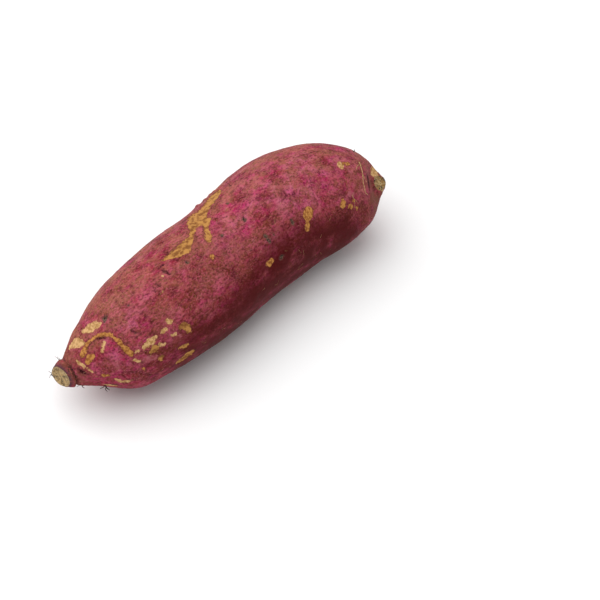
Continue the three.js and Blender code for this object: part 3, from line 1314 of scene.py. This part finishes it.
@dataclass
class Fuzz:
    """Short hairs strewn over a zone of the skin by one node tree."""

    name: str
    zone: str  # the skin's attribute that says where they stand
    per_cm2: float  # how many stand where the zone is full
    longest: float  # mm
    half: float  # mm, half their thickness
    lean: float  # degrees from standing straight out
    wander: float = 0.5  # mm
    grain: float = 1.3
    bends: int = 6  # points along a hair
    shortest: float = 0.3  # the shortest hair, as a share of the longest
    sides: int = 4
    thin: float = 0.7
    seed: int = 11
    length_seed: int = 4

    def tree(self) -> bpy.types.GeometryNodeTree:
        """Builds the nodes that strew the hairs, lean, bend and sweep them.

        Returns:
            The tree.
        """
        tree = bpy.data.node_groups.new("strewn_hairs", "GeometryNodeTree")
        sizes = {"Density": "Float", "Longest": "Float", "Half": "Float", "Lean": "Float"}
        sizes |= {"Wander": "Float", "Grain": "Float", "Thin": "Float", "Seed": "Int"}
        given = open_tree(tree, sizes | {"Zone": "String", "Sides": "Int", "Finish": "Material"})
        zone = add(
            tree, "GeometryNodeInputNamedAttribute", {"data_type": "FLOAT"}, {"Name": given.outputs["Zone"]}
        )
        settings = {"operation": "MULTIPLY"}
        crowd = add(tree, "ShaderNodeMath", settings, {0: zone.outputs[0], 1: given.outputs["Density"]})
        spots = add(
            tree,
            "GeometryNodeDistributePointsOnFaces",
            inputs={0: given.outputs["Geometry"], "Density": crowd.outputs[0], "Seed": given.outputs["Seed"]},
        )
        settings = {"data_type": "FLOAT_VECTOR"}
        inputs = {0: (0.0, 0.0, 0.0), 1: (0.0, 0.0, math.tau), "Seed": given.outputs["Seed"]}
        spin = add(tree, "FunctionNodeRandomValue", settings, inputs)
        tilt = add(tree, "ShaderNodeCombineXYZ", inputs={"X": given.outputs["Lean"]})
        turned = spots.outputs["Rotation"]
        for euler in (spin.outputs[0], tilt.outputs[0]):
            by = add(tree, "FunctionNodeEulerToRotation", inputs={0: euler})
            settings = {"rotation_space": "LOCAL"}
            both = add(tree, "FunctionNodeRotateRotation", settings, {0: turned, 1: by.outputs[0]})
            turned = both.outputs[0]
        inputs = {2: self.shortest, 3: 1.0, "Seed": self.length_seed}
        share = add(tree, "FunctionNodeRandomValue", {"data_type": "FLOAT"}, inputs)
        settings = {"operation": "MULTIPLY"}
        length = add(tree, "ShaderNodeMath", settings, {0: share.outputs[1], 1: given.outputs["Longest"]})
        line = add(tree, "GeometryNodeCurvePrimitiveLine", inputs={"End": (0.0, 0.0, 1.0)})
        hair = add(tree, "GeometryNodeResampleCurve", inputs={"Curve": line.outputs[0], "Count": self.bends})
        copies = add(
            tree,
            "GeometryNodeInstanceOnPoints",
            inputs={
                "Points": spots.outputs["Points"],
                "Instance": hair.outputs[0],
                "Rotation": turned,
                "Scale": length.outputs[0],
            },
        )
        real = add(tree, "GeometryNodeRealizeInstances", inputs={0: copies.outputs[0]})
        bent = stray(tree, real.outputs[0], given)
        close_tree(tree, sweep(tree, bent, given.outputs["Half"], given), given)
        return tree

    def build(self, root: bpy.types.Object, finish: bpy.types.Material) -> bpy.types.Object:
        """Makes the hairs' mesh.

        Args:
            root: The finished root that they stand on.
            finish: Their material.

        Returns:
            The hairs as one plain mesh.
        """
        ground = bpy.data.objects.new(self.name, root.data.copy())
        bpy.context.scene.collection.objects.link(ground)
        sizes = {"Zone": self.zone, "Density": self.per_cm2 * 1e4, "Longest": self.longest * MM}
        sizes |= {"Half": self.half * MM, "Lean": math.radians(self.lean), "Wander": self.wander * MM}
        sizes |= {"Grain": self.grain * MM, "Thin": self.thin, "Seed": self.seed, "Sides": self.sides}
        return grown_mesh(ground, self.tree(), sizes | {"Finish": finish})


def open_tree(tree: bpy.types.GeometryNodeTree, sizes: dict[str, str]) -> bpy.types.Node:
    """Gives a tree its geometry sockets and its named sizes.

    Args:
        tree: The tree.
        sizes: Each input's name and the kind of value it takes.

    Returns:
        The node that the inputs come from.
    """
    for way in ("INPUT", "OUTPUT"):
        tree.interface.new_socket("Geometry", in_out=way, socket_type="NodeSocketGeometry")
    for name, kind in sizes.items():
        tree.interface.new_socket(name, in_out="INPUT", socket_type=f"NodeSocket{kind}")
    return add(tree, "NodeGroupInput")


def stray(
    tree: bpy.types.GeometryNodeTree, curve: bpy.types.NodeSocket, given: bpy.types.Node
) -> bpy.types.NodeSocket:
    """Bends curves from their paths, more and more towards their tips.

    Args:
        tree: The tree.
        curve: The curves.
        given: The tree's inputs, with Wander and Grain.

    Returns:
        The bent curves.
    """
    spot = add(tree, "GeometryNodeInputPosition")
    waves = add(tree, "ShaderNodeMath", {"operation": "DIVIDE"}, {0: 1.0, 1: given.outputs["Grain"]})
    inputs = {"Vector": spot.outputs[0], "Scale": waves.outputs[0], "Detail": 1.0, "W": given.outputs["Seed"]}
    bends = add(tree, "ShaderNodeTexNoise", {"noise_dimensions": "4D"}, inputs)
    middle = {0: bends.outputs["Color"], 1: (0.5, 0.5, 0.5)}
    level = add(tree, "ShaderNodeVectorMath", {"operation": "SUBTRACT"}, middle)
    share = add(tree, "GeometryNodeSplineParameter")
    settings = {"operation": "MULTIPLY"}
    reach = add(tree, "ShaderNodeMath", settings, {0: share.outputs["Factor"], 1: given.outputs["Wander"]})
    twice = add(tree, "ShaderNodeMath", settings, {0: reach.outputs[0], 1: 2.0})
    offset = add(
        tree, "ShaderNodeVectorMath", {"operation": "SCALE"}, {0: level.outputs[0], "Scale": twice.outputs[0]}
    )
    moved = add(tree, "GeometryNodeSetPosition", inputs={"Geometry": curve, "Offset": offset.outputs[0]})
    return moved.outputs[0]


def sweep(
    tree: bpy.types.GeometryNodeTree,
    curve: bpy.types.NodeSocket,
    half: bpy.types.NodeSocket,
    given: bpy.types.Node,
) -> bpy.types.NodeSocket:
    """Sweeps a round section along curves, thinner towards their tips.

    Args:
        tree: The tree.
        curve: The curves.
        half: Half the thickness.
        given: The tree's inputs, with Thin and Sides.

    Returns:
        The closed tubes.
    """
    share = add(tree, "GeometryNodeSplineParameter")
    settings = {"operation": "MULTIPLY"}
    lost = add(tree, "ShaderNodeMath", settings, {0: share.outputs["Factor"], 1: given.outputs["Thin"]})
    left = add(tree, "ShaderNodeMath", {"operation": "SUBTRACT"}, {0: 1.0, 1: lost.outputs[0]})
    size = add(tree, "ShaderNodeMath", settings, {0: left.outputs[0], 1: half})
    inputs = {"Resolution": given.outputs["Sides"], "Radius": 1.0}
    section = add(tree, "GeometryNodeCurvePrimitiveCircle", inputs=inputs)
    inputs = {"Curve": curve, "Profile Curve": section.outputs[0], "Scale": size.outputs[0]}
    tube = add(tree, "GeometryNodeCurveToMesh", inputs=inputs | {"Fill Caps": True})
    return tube.outputs[0]


def close_tree(
    tree: bpy.types.GeometryNodeTree, mesh: bpy.types.NodeSocket, given: bpy.types.Node
) -> None:
    """Ends a tree: everything made real, with its finish.

    Args:
        tree: The tree.
        mesh: What it has made.
        given: The tree's inputs, with Finish.
    """
    real = add(tree, "GeometryNodeRealizeInstances", inputs={0: mesh})
    dressed = add(
        tree, "GeometryNodeSetMaterial", inputs={0: real.outputs[0], "Material": given.outputs["Finish"]}
    )
    add(tree, "NodeGroupOutput", inputs={0: dressed.outputs[0]})


def grown_mesh(
    base: bpy.types.Object, tree: bpy.types.GeometryNodeTree, sizes: dict[str, object]
) -> bpy.types.Object:
    """Runs a tree on an object and keeps the result as a plain mesh.

    Args:
        base: The object that the tree reads.
        tree: The tree.
        sizes: A value for each of its inputs, by name.

    Returns:
        The same object, holding the result and no modifier.
    """
    modifier = base.modifiers.new("growth", "NODES")
    modifier.node_group = tree
    for item in tree.interface.items_tree:
        if item.in_out == "INPUT" and item.name in sizes:
            modifier[item.identifier] = sizes[item.name]
    ready = base.evaluated_get(bpy.context.evaluated_depsgraph_get())
    mesh = bpy.data.meshes.new_from_object(ready)
    base.modifiers.clear()
    base.data = mesh
    mesh.name = base.name
    return base


# ---------------------------------------------------------------------------------------------------
# Finishes


@dataclass(frozen=True)
class Mottle:
    """One colour that shows through in patches, streaks or specks.

    The first five values are given in this order, and the rest by name.
    """

    colour: str
    grain: float  # mm across a patch
    start: float  # the noise value at which it begins to show
    full: float  # and the one at which it shows fully
    cover: float  # how much it covers there
    stretch: float = 1.0  # how much longer it is along the root than across
    place: str = "grown_place"
    octaves: float = 2.0
    depth: float = 0.0  # mm that it stands out of the skin
    gloss: float = 0.0  # how much it adds to the roughness
    within: str = ""  # an attribute that it is held to


@dataclass(frozen=True)
class Grit:
    """Fine relief that has no colour of its own."""

    grain: float  # mm across
    depth: float  # mm high
    place: str = "grown_place"


@dataclass(frozen=True)
class MarkFinish:
    """How one kind of mark is coloured."""

    tone: Tone
    light: str
    dark: str
    rim: str
    grain: float  # mm across its light and dark patches
    soft: float  # mm over which its edge fades
    ragged: float  # mm by which its edge wanders
    cover: float
    rim_cover: float
    flake: float = 0.7  # mm across the flakes that its edge breaks along
    gloss: float = 0.15


class Surface:
    """A material that is built up in layers of colour, relief and roughness."""

    NOISE_ROUGHNESS = 0.62
    PATCHES = (0.42, 0.62)  # the noise values between which a mark turns from light to dark
    RIM_WIDTH = 0.9  # mm over which a mark's rim fades
    SHEEN_ROUGHNESS = 0.45

    def __init__(self, name: str, base: str, roughness: float) -> None:
        """Starts a material with one colour and roughness.

        Args:
            name: What the surface is.
            base: Its sRGB colour under all its layers.
            roughness: Its roughness under all its layers.
        """
        self.material = bpy.data.materials.new(name)
        self.material.use_nodes = True
        self.tree = self.material.node_tree
        self.shader = self.tree.nodes["Principled BSDF"]
        self.colour: bpy.types.NodeSocket | tuple[float, ...] = linear(base)
        self.height: bpy.types.NodeSocket | float = 0.0
        self.roughness: bpy.types.NodeSocket | float = roughness

    def noise(self, grain: float, place: str, stretch: float, octaves: float) -> bpy.types.NodeSocket:
        """Makes smooth noise.

        Args:
            grain: Millimetres across a wave.
            place: The place attribute, or nothing for the piece's own place.
            stretch: How much longer the waves are along the root.
            octaves: How many sizes of finer wave are added.

        Returns:
            Values about a half.
        """
        if place:
            spot = add(self.tree, "ShaderNodeAttribute", {"attribute_name": place}).outputs["Vector"]
        else:
            spot = add(self.tree, "ShaderNodeTexCoord").outputs["Object"]
        across = 1 / (grain * MM)
        sized = add(
            self.tree,
            "ShaderNodeVectorMath",
            {"operation": "MULTIPLY"},
            {0: spot, 1: (across / stretch, across, across)},
        )
        inputs = {"Vector": sized.outputs[0], "Scale": 1.0, "Detail": octaves}
        inputs["Roughness"] = self.NOISE_ROUGHNESS
        waves = add(self.tree, "ShaderNodeTexNoise", inputs=inputs)
        return waves.outputs[0]

    def between(
        self, value: bpy.types.NodeSocket, low: float, high: float, top: float
    ) -> bpy.types.NodeSocket:
        """Nothing up to low, rising to top at high.

        Args:
            value: What is looked at.
            low: Where it starts to rise.
            high: Where it stops.
            top: The greatest value.

        Returns:
            The eased value.
        """
        settings = {"interpolation_type": "SMOOTHSTEP"}
        inputs = {"Value": value, "From Min": low, "From Max": high, "To Min": 0.0, "To Max": top}
        return add(self.tree, "ShaderNodeMapRange", settings, inputs).outputs[0]

    def paint(self, share: bpy.types.NodeSocket, over: str | bpy.types.NodeSocket) -> None:
        """Lays a colour over what is there, by a share.

        Args:
            share: How much of it shows.
            over: The colour, in hex or from another node.
        """
        colour = linear(over) if isinstance(over, str) else over
        settings = {"data_type": "RGBA"}
        mixed = add(self.tree, "ShaderNodeMix", settings, {0: share, 6: self.colour, 7: colour})
        self.colour = mixed.outputs[2]

    def gather(
        self, total: bpy.types.NodeSocket | float, share: bpy.types.NodeSocket, amount: float
    ) -> bpy.types.NodeSocket:
        """Adds an amount of a share to a running total."""
        settings = {"operation": "MULTIPLY_ADD"}
        return add(self.tree, "ShaderNodeMath", settings, {0: share, 1: amount, 2: total}).outputs[0]

    def mottle(self, layer: Mottle) -> None:
        """Lays one mottle over the surface.

        Args:
            layer: The mottle.
        """
        waves = self.noise(layer.grain, layer.place, layer.stretch, layer.octaves)
        share = self.between(waves, layer.start, layer.full, layer.cover)
        if layer.within:
            zone = add(self.tree, "ShaderNodeAttribute", {"attribute_name": layer.within})
            settings = {"operation": "MULTIPLY"}
            held = add(self.tree, "ShaderNodeMath", settings, {0: share, 1: zone.outputs["Fac"]})
            share = held.outputs[0]
        self.paint(share, layer.colour)
        if layer.depth:
            self.height = self.gather(self.height, share, layer.depth)
        if layer.gloss:
            self.roughness = self.gather(self.roughness, share, layer.gloss)

    def mark(self, finish: MarkFinish) -> None:
        """Colours one kind of mark inside its edge, with a rim round it.

        Args:
            finish: How that kind is coloured.
        """
        inside = add(self.tree, "ShaderNodeAttribute", {"attribute_name": finish.tone.value})
        spot = add(self.tree, "ShaderNodeAttribute", {"attribute_name": "grown_place"})
        inputs = {"Vector": spot.outputs["Vector"], "Scale": 1 / (finish.flake * MM)}
        flakes = add(self.tree, "ShaderNodeTexVoronoi", inputs=inputs)
        edge = self.gather(inside.outputs["Fac"], flakes.outputs["Color"], 2 * finish.ragged)
        middle = finish.ragged  # the flakes' values are about a half
        rim = self.between(edge, middle - self.RIM_WIDTH, middle, finish.rim_cover)
        self.paint(rim, finish.rim)
        half = finish.soft / 2
        share = self.between(edge, middle - half, middle + half, finish.cover)
        patches = self.between(self.noise(finish.grain, "grown_place", 1.0, 3.0), *self.PATCHES, 1.0)
        inputs = {0: patches, 6: linear(finish.light), 7: linear(finish.dark)}
        tint = add(self.tree, "ShaderNodeMix", {"data_type": "RGBA"}, inputs)
        self.paint(share, tint.outputs[2])
        self.roughness = self.gather(self.roughness, share, finish.gloss)

    def grit(self, layer: Grit) -> None:
        """Adds relief that has no colour of its own."""
        waves = self.noise(layer.grain, layer.place, 1.0, 3.0)
        self.height = self.gather(self.height, waves, layer.depth)

    def finish(self, specular: float, sheen: float) -> bpy.types.Material:
        """Joins the layers to the shader.

        Args:
            specular: The shader's specular level.
            sheen: The weight of its sheen.

        Returns:
            The material.
        """
        self.tree.links.new(self.colour, self.shader.inputs["Base Color"])
        if isinstance(self.roughness, bpy.types.NodeSocket):
            self.tree.links.new(self.roughness, self.shader.inputs["Roughness"])
        else:
            self.shader.inputs["Roughness"].default_value = self.roughness
        if isinstance(self.height, bpy.types.NodeSocket):
            inputs = {"Height": self.height, "Distance": MM, "Strength": 1.0}
            bump = add(self.tree, "ShaderNodeBump", inputs=inputs)
            self.tree.links.new(bump.outputs[0], self.shader.inputs["Normal"])
        self.shader.inputs["Specular IOR Level"].default_value = specular
        self.shader.inputs["Sheen Weight"].default_value = sheen
        self.shader.inputs["Sheen Roughness"].default_value = self.SHEEN_ROUGHNESS
        return self.material


@dataclass(frozen=True)
class Periderm:
    """Sweet potato skin: a thin, dry cork layer over anthocyanin-red cells.

    It is nearly matt, with fine scratches from the soil and harvest, and it breaks in patches that
    heal as tan cork. The pattern sizes are those of the skin, in millimetres.
    """

    base: str = "#921b36"
    roughness: float = 0.55
    mottles: tuple[Mottle, ...] = (
        Mottle("#5a1a12", 24, 0.44, 0.60, 0.75, stretch=1.5, octaves=3),
        Mottle("#a8124f", 18, 0.28, 0.54, 0.85, stretch=2.0, octaves=3, within="magenta_flank"),
        Mottle("#7a3a2e", 16, 0.28, 0.52, 0.8, stretch=1.5, octaves=4, within="brown_flank"),
        Mottle("#a0124e", 14, 0.50, 0.62, 0.65, stretch=2.2, octaves=3),
        Mottle("#b65468", 8, 0.46, 0.61, 0.85, stretch=1.6, octaves=5, gloss=0.05),
        # Painted highlight: a pale pink where the light falls on the top.
        Mottle("#c8688a", 11, 0.38, 0.56, 0.75, stretch=1.8, octaves=5, within="magenta_flank"),
        Mottle("#48080c", 6, 0.46, 0.61, 0.85, stretch=1.3, octaves=5),
        Mottle("#ae1460", 3.2, 0.49, 0.66, 0.5, stretch=2.6, octaves=4),
        Mottle("#682612", 3.6, 0.46, 0.62, 0.75, stretch=1.4, octaves=5),
        Mottle("#440a0c", 2.3, 0.50, 0.64, 0.55, stretch=1.8, octaves=4),
        # Dust on the top towards +Y, partly a painted sheen along that edge.
        Mottle("#a46c50", 6, 0.38, 0.60, 0.7, stretch=1.4, octaves=5, gloss=0.12, within="dusty_back"),
        Mottle("#3c080a", 1.0, 0.44, 0.66, 0.68, stretch=1.3, octaves=5, depth=-0.03),
        Mottle("#c25c6a", 0.8, 0.46, 0.68, 0.55, stretch=1.3, octaves=4, gloss=0.08, depth=0.02),
        Mottle("#944e3a", 1.2, 0.50, 0.68, 0.45, octaves=4, gloss=0.08),
        Mottle("#a82058", 0.92, 0.50, 0.70, 0.25, octaves=4),
        Mottle("#d2868c", 0.42, 0.60, 0.76, 0.3, stretch=10, place="left_twist", gloss=0.05),
        Mottle("#d2868c", 0.42, 0.60, 0.76, 0.3, stretch=10, place="right_twist", gloss=0.05),
        # Painted shade: the lower side darkened to a dark maroon.
        Mottle("#480404", 7, 0.16, 0.56, 0.92, stretch=1.5, octaves=5, within="deep_side"),
        Mottle("#744836", 3, 0.36, 0.60, 0.85, octaves=5, gloss=0.15, within="tail_brown"),
        Mottle("#743c30", 2.2, 0.34, 0.60, 0.85, octaves=5, gloss=0.1, within="neck_brown"),
        Mottle("#96604e", 1.3, 0.50, 0.62, 0.6, octaves=4, gloss=0.1, within="neck_brown"),
        Mottle("#2b211c", 1.5, 0.46, 0.58, 0.8, octaves=4, gloss=0.2, within="neck_soil"),
        Mottle("#4a3440", 1.6, 0.30, 0.50, 0.85, octaves=3, gloss=0.2, within="cut_rim"),
    )
    marks: tuple[MarkFinish, ...] = (
        MarkFinish(
            Tone.FADED, light="#b86a70", dark="#9a4a50", rim="#8a4a4a",
            grain=1.2, soft=0.9, ragged=0.4, cover=0.55, rim_cover=0.0,
        ),
        MarkFinish(
            Tone.BARE, light="#d2a874", dark="#a67c4a", rim="#7d4238",
            grain=1.3, soft=0.35, ragged=0.42, cover=0.95, rim_cover=0.3, flake=0.9,
        ),
        MarkFinish(
            Tone.CORK, light="#b98548", dark="#80522a", rim="#552620",
            grain=2.2, soft=0.4, ragged=0.5, cover=0.95, rim_cover=0.5, flake=0.9,
        ),
        MarkFinish(
            Tone.RUST, light="#bd8446", dark="#865226", rim="#52201c",
            grain=1.3, soft=0.35, ragged=0.4, cover=0.95, rim_cover=0.45, flake=0.9,
        ),
        MarkFinish(
            Tone.EYE, light="#6e5a4a", dark="#2c2420", rim="#6f4640",
            grain=0.8, soft=0.5, ragged=0.4, cover=0.85, rim_cover=0.4,
        ),
        # Painted shade: the dark of the sunk creases and nicks.
        MarkFinish(
            Tone.CREASE, light="#42121a", dark="#26080e", rim="#4a1c22",
            grain=0.6, soft=0.7, ragged=0.3, cover=0.9, rim_cover=0.4,
        ),
    )
    pores: tuple[Grit, ...] = (Grit(0.55, 0.03), Grit(1.6, 0.06))
    specular: float = 0.07

    def material(self) -> bpy.types.Material:
        """Builds the skin's layers, from the broad ones to the fine ones, and then its marks.

        Returns:
            The material.
        """
        surface = Surface("sweet_potato_periderm", self.base, self.roughness)
        for layer in self.mottles:
            surface.mottle(layer)
        for mark in self.marks:
            surface.mark(mark)
        for pore in self.pores:
            surface.grit(pore)
        return surface.finish(specular=self.specular, sheen=0.0)


@dataclass(frozen=True)
class EndTissue:
    """What shows where an end is open: dried fibre, matt and rough."""

    name: str
    base: str
    mottles: tuple[Mottle, ...]
    roughness: float = 0.85
    fibre: Grit = Grit(0.5, 0.15)
    specular: float = 0.2
    sheen: float = 0.1

    def material(self) -> bpy.types.Material:
        """Builds the tissue's layers.

        Returns:
            The material.
        """
        surface = Surface(self.name, self.base, self.roughness)
        for layer in self.mottles:
            surface.mottle(layer)
        surface.grit(self.fibre)
        return surface.finish(self.specular, self.sheen)


# The crown's cut, healed over: dull tan, fibrous, with brown strands, pale fibre and dark pits.
DRIED_CUT = EndTissue(
    "dried_cut_crown",
    "#bb9c6c",
    (
        Mottle("#8c6e46", 1.5, 0.42, 0.60, 0.85, octaves=4),
        Mottle("#66502f", 1.8, 0.50, 0.62, 0.8, octaves=4, depth=-0.2),
        Mottle("#dcc69c", 0.8, 0.54, 0.66, 0.75, octaves=3, depth=0.1),
        Mottle("#2e2a20", 0.9, 0.58, 0.66, 0.9, octaves=3, depth=-0.2),
    ),
)

# The tail's scar, where the thin root broke off: pale torn fibre and dark brown knobs.
TORN_TAIL = EndTissue(
    "torn_tail_scar",
    "#94703f",
    (
        Mottle("#ccac78", 1.7, 0.46, 0.58, 0.9, octaves=4, depth=0.3),
        Mottle("#624426", 2.5, 0.50, 0.62, 0.85, octaves=4, depth=-0.3),
        Mottle("#241a10", 1.3, 0.56, 0.64, 0.9, octaves=3, depth=-0.4),
    ),
)


@dataclass(frozen=True)
class DryGrowth:
    """Dead rootlets, hairs and fibres: matt and brittle, darker where soil clings to them."""

    name: str
    base: str
    shade: str
    grain: float = 0.7  # mm
    grit: Grit = Grit(0.3, 0.05, place="")
    roughness: float = 0.85
    specular: float = 0.15

    def material(self) -> bpy.types.Material:
        """Builds the two tones and the rough surface.

        Returns:
            The material.
        """
        surface = Surface(self.name, self.base, self.roughness)
        surface.mottle(Mottle(self.shade, self.grain, 0.42, 0.60, 0.8, place=""))
        surface.grit(self.grit)
        return surface.finish(self.specular, sheen=0.0)


# Rootlets that died with soil on them.
DEAD_ROOTLET = DryGrowth("dead_rootlet", "#3a2d22", "#17120e")

# Fibre that has dried clean and pale.
PALE_FIBRE = DryGrowth("dry_pale_fibre", "#c49e70", "#927048")


# ---------------------------------------------------------------------------------------------------
# The studio


@dataclass(frozen=True)
class Studio:
    """A pale floor, soft light from above and the camera. Lengths are in millimetres."""

    azimuth: float = -38.0  # degrees round the root, 0 looking along +Y
    elevation: float = 50.0
    lens: float = 135.0
    sensor: float = 36.0
    distance: float = 990.0
    nearest: float = 50.0
    furthest: float = 20000.0
    aim_height: float = 27.0
    left_of_middle: float = 38.3  # how far the root's middle is left of the picture's
    above_middle: float = 16.9
    floor_size: float = 6000.0
    floor_colour: str = "#f6f6f6"
    room_strength: float = 0.5
    softbox: float = 1800.0  # along each side
    softbox_place: tuple[float, float, float] = (-200.0, 280.0, 1100.0)
    softbox_watts: float = 18.6

    def axes(self) -> tuple[Vector, Vector, Vector]:
        """The camera's right, up and backward directions.

        Returns:
            The three directions, at length one.
        """
        a, e = math.radians(self.azimuth), math.radians(self.elevation)
        right = Vector((math.cos(a), math.sin(a), 0))
        back = Vector((math.sin(a) * math.cos(e), -math.cos(a) * math.cos(e), math.sin(e)))
        return right, back.cross(right), back

    def camera(self) -> None:
        """Puts the camera where it frames the root to the upper left of the middle."""
        right, up, back = self.axes()
        aim = Vector((0, 0, self.aim_height)) + self.left_of_middle * right - self.above_middle * up
        data = bpy.data.cameras.new("camera")
        data.lens, data.sensor_width = self.lens, self.sensor
        data.clip_start, data.clip_end = self.nearest * MM, self.furthest * MM
        camera = bpy.data.objects.new("camera", data)
        turn = Matrix((right, up, back)).transposed().to_4x4()
        camera.matrix_world = Matrix.Translation((aim + self.distance * back) * MM) @ turn
        bpy.context.scene.collection.objects.link(camera)
        bpy.context.scene.camera = camera

    def floor(self) -> None:
        """Lays the pale floor at the height that the root rests on."""
        half = self.floor_size / 2 * MM
        mesh = bpy.data.meshes.new("studio_floor")
        corners = [(-half, -half, 0), (half, -half, 0), (half, half, 0), (-half, half, 0)]
        mesh.from_pydata(corners, [], [(0, 1, 2, 3)])
        floor = bpy.data.objects.new("studio_floor", mesh)
        bpy.context.scene.collection.objects.link(floor)
        material = bpy.data.materials.new("matt_white_paper_sweep")
        material.use_nodes = True
        surface = material.node_tree.nodes["Principled BSDF"]
        surface.inputs["Base Color"].default_value = linear(self.floor_colour)
        surface.inputs["Roughness"].default_value = 1.0
        surface.inputs["Specular IOR Level"].default_value = 0.0
        mesh.materials.append(material)

    def lights(self) -> None:
        """Hangs a large soft light overhead, a little behind, and fills the rest with a pale room."""
        world = bpy.data.worlds.new("pale_room")
        world.use_nodes = True
        room = world.node_tree.nodes["Background"]
        room.inputs["Color"].default_value = (1, 1, 1, 1)
        room.inputs["Strength"].default_value = self.room_strength
        bpy.context.scene.world = world
        data = bpy.data.lights.new("overhead_softbox", "AREA")
        data.shape = "SQUARE"
        data.size = self.softbox * MM
        data.energy = self.softbox_watts
        light = bpy.data.objects.new("overhead_softbox", data)
        light.location = Vector(self.softbox_place) * MM
        light.rotation_mode = "QUATERNION"
        light.rotation_quaternion = light.location.to_track_quat("Z", "Y")
        bpy.context.scene.collection.objects.link(light)

    def build(self) -> None:
        """Sets up the camera, the floor, the lights and plain colour handling."""
        self.camera()
        self.floor()
        self.lights()
        bpy.context.scene.view_settings.view_transform = "Standard"


def main() -> None:
    """Builds the studio and the root."""
    Studio().build()
    form = RootForm()
    log.info("middle line %.1f mm", form.length)
    skin = RootSkin(form, Blemishes())
    root = skin.build()
    for finish in (Periderm(), DRIED_CUT, TORN_TAIL):
        root.data.materials.append(finish.material())
    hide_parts(NODE)
    dark = DEAD_ROOTLET.material()
    pale = PALE_FIBRE.material()
    collar_hairs = Fuzz(
        "collar_hairs", "neck_soil", per_cm2=26, longest=1.5, half=0.06, lean=55, seed=11
    )
    skin_fibres = Fuzz(
        "skin_fibres", "fibrous", per_cm2=0.9, longest=3.2, half=0.05, lean=87, wander=0.3, seed=12
    )
    pieces = [
        root,
        Growth("neck_rootlets", ROOTLETS).build(skin, dark),
        Growth("tail_fibre", TAIL_FIBRE, wander=0.25, thin=0.4, seed=8.0).build(skin, pale),
        collar_hairs.build(root, dark),
        skin_fibres.build(root, pale),
    ]
    for piece in pieces:
        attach(piece, BODY)
        log.info("%s: %d faces", piece.name, len(piece.data.polygons))


if __name__ == "__main__":
    logging.basicConfig(level=logging.INFO)
    main()
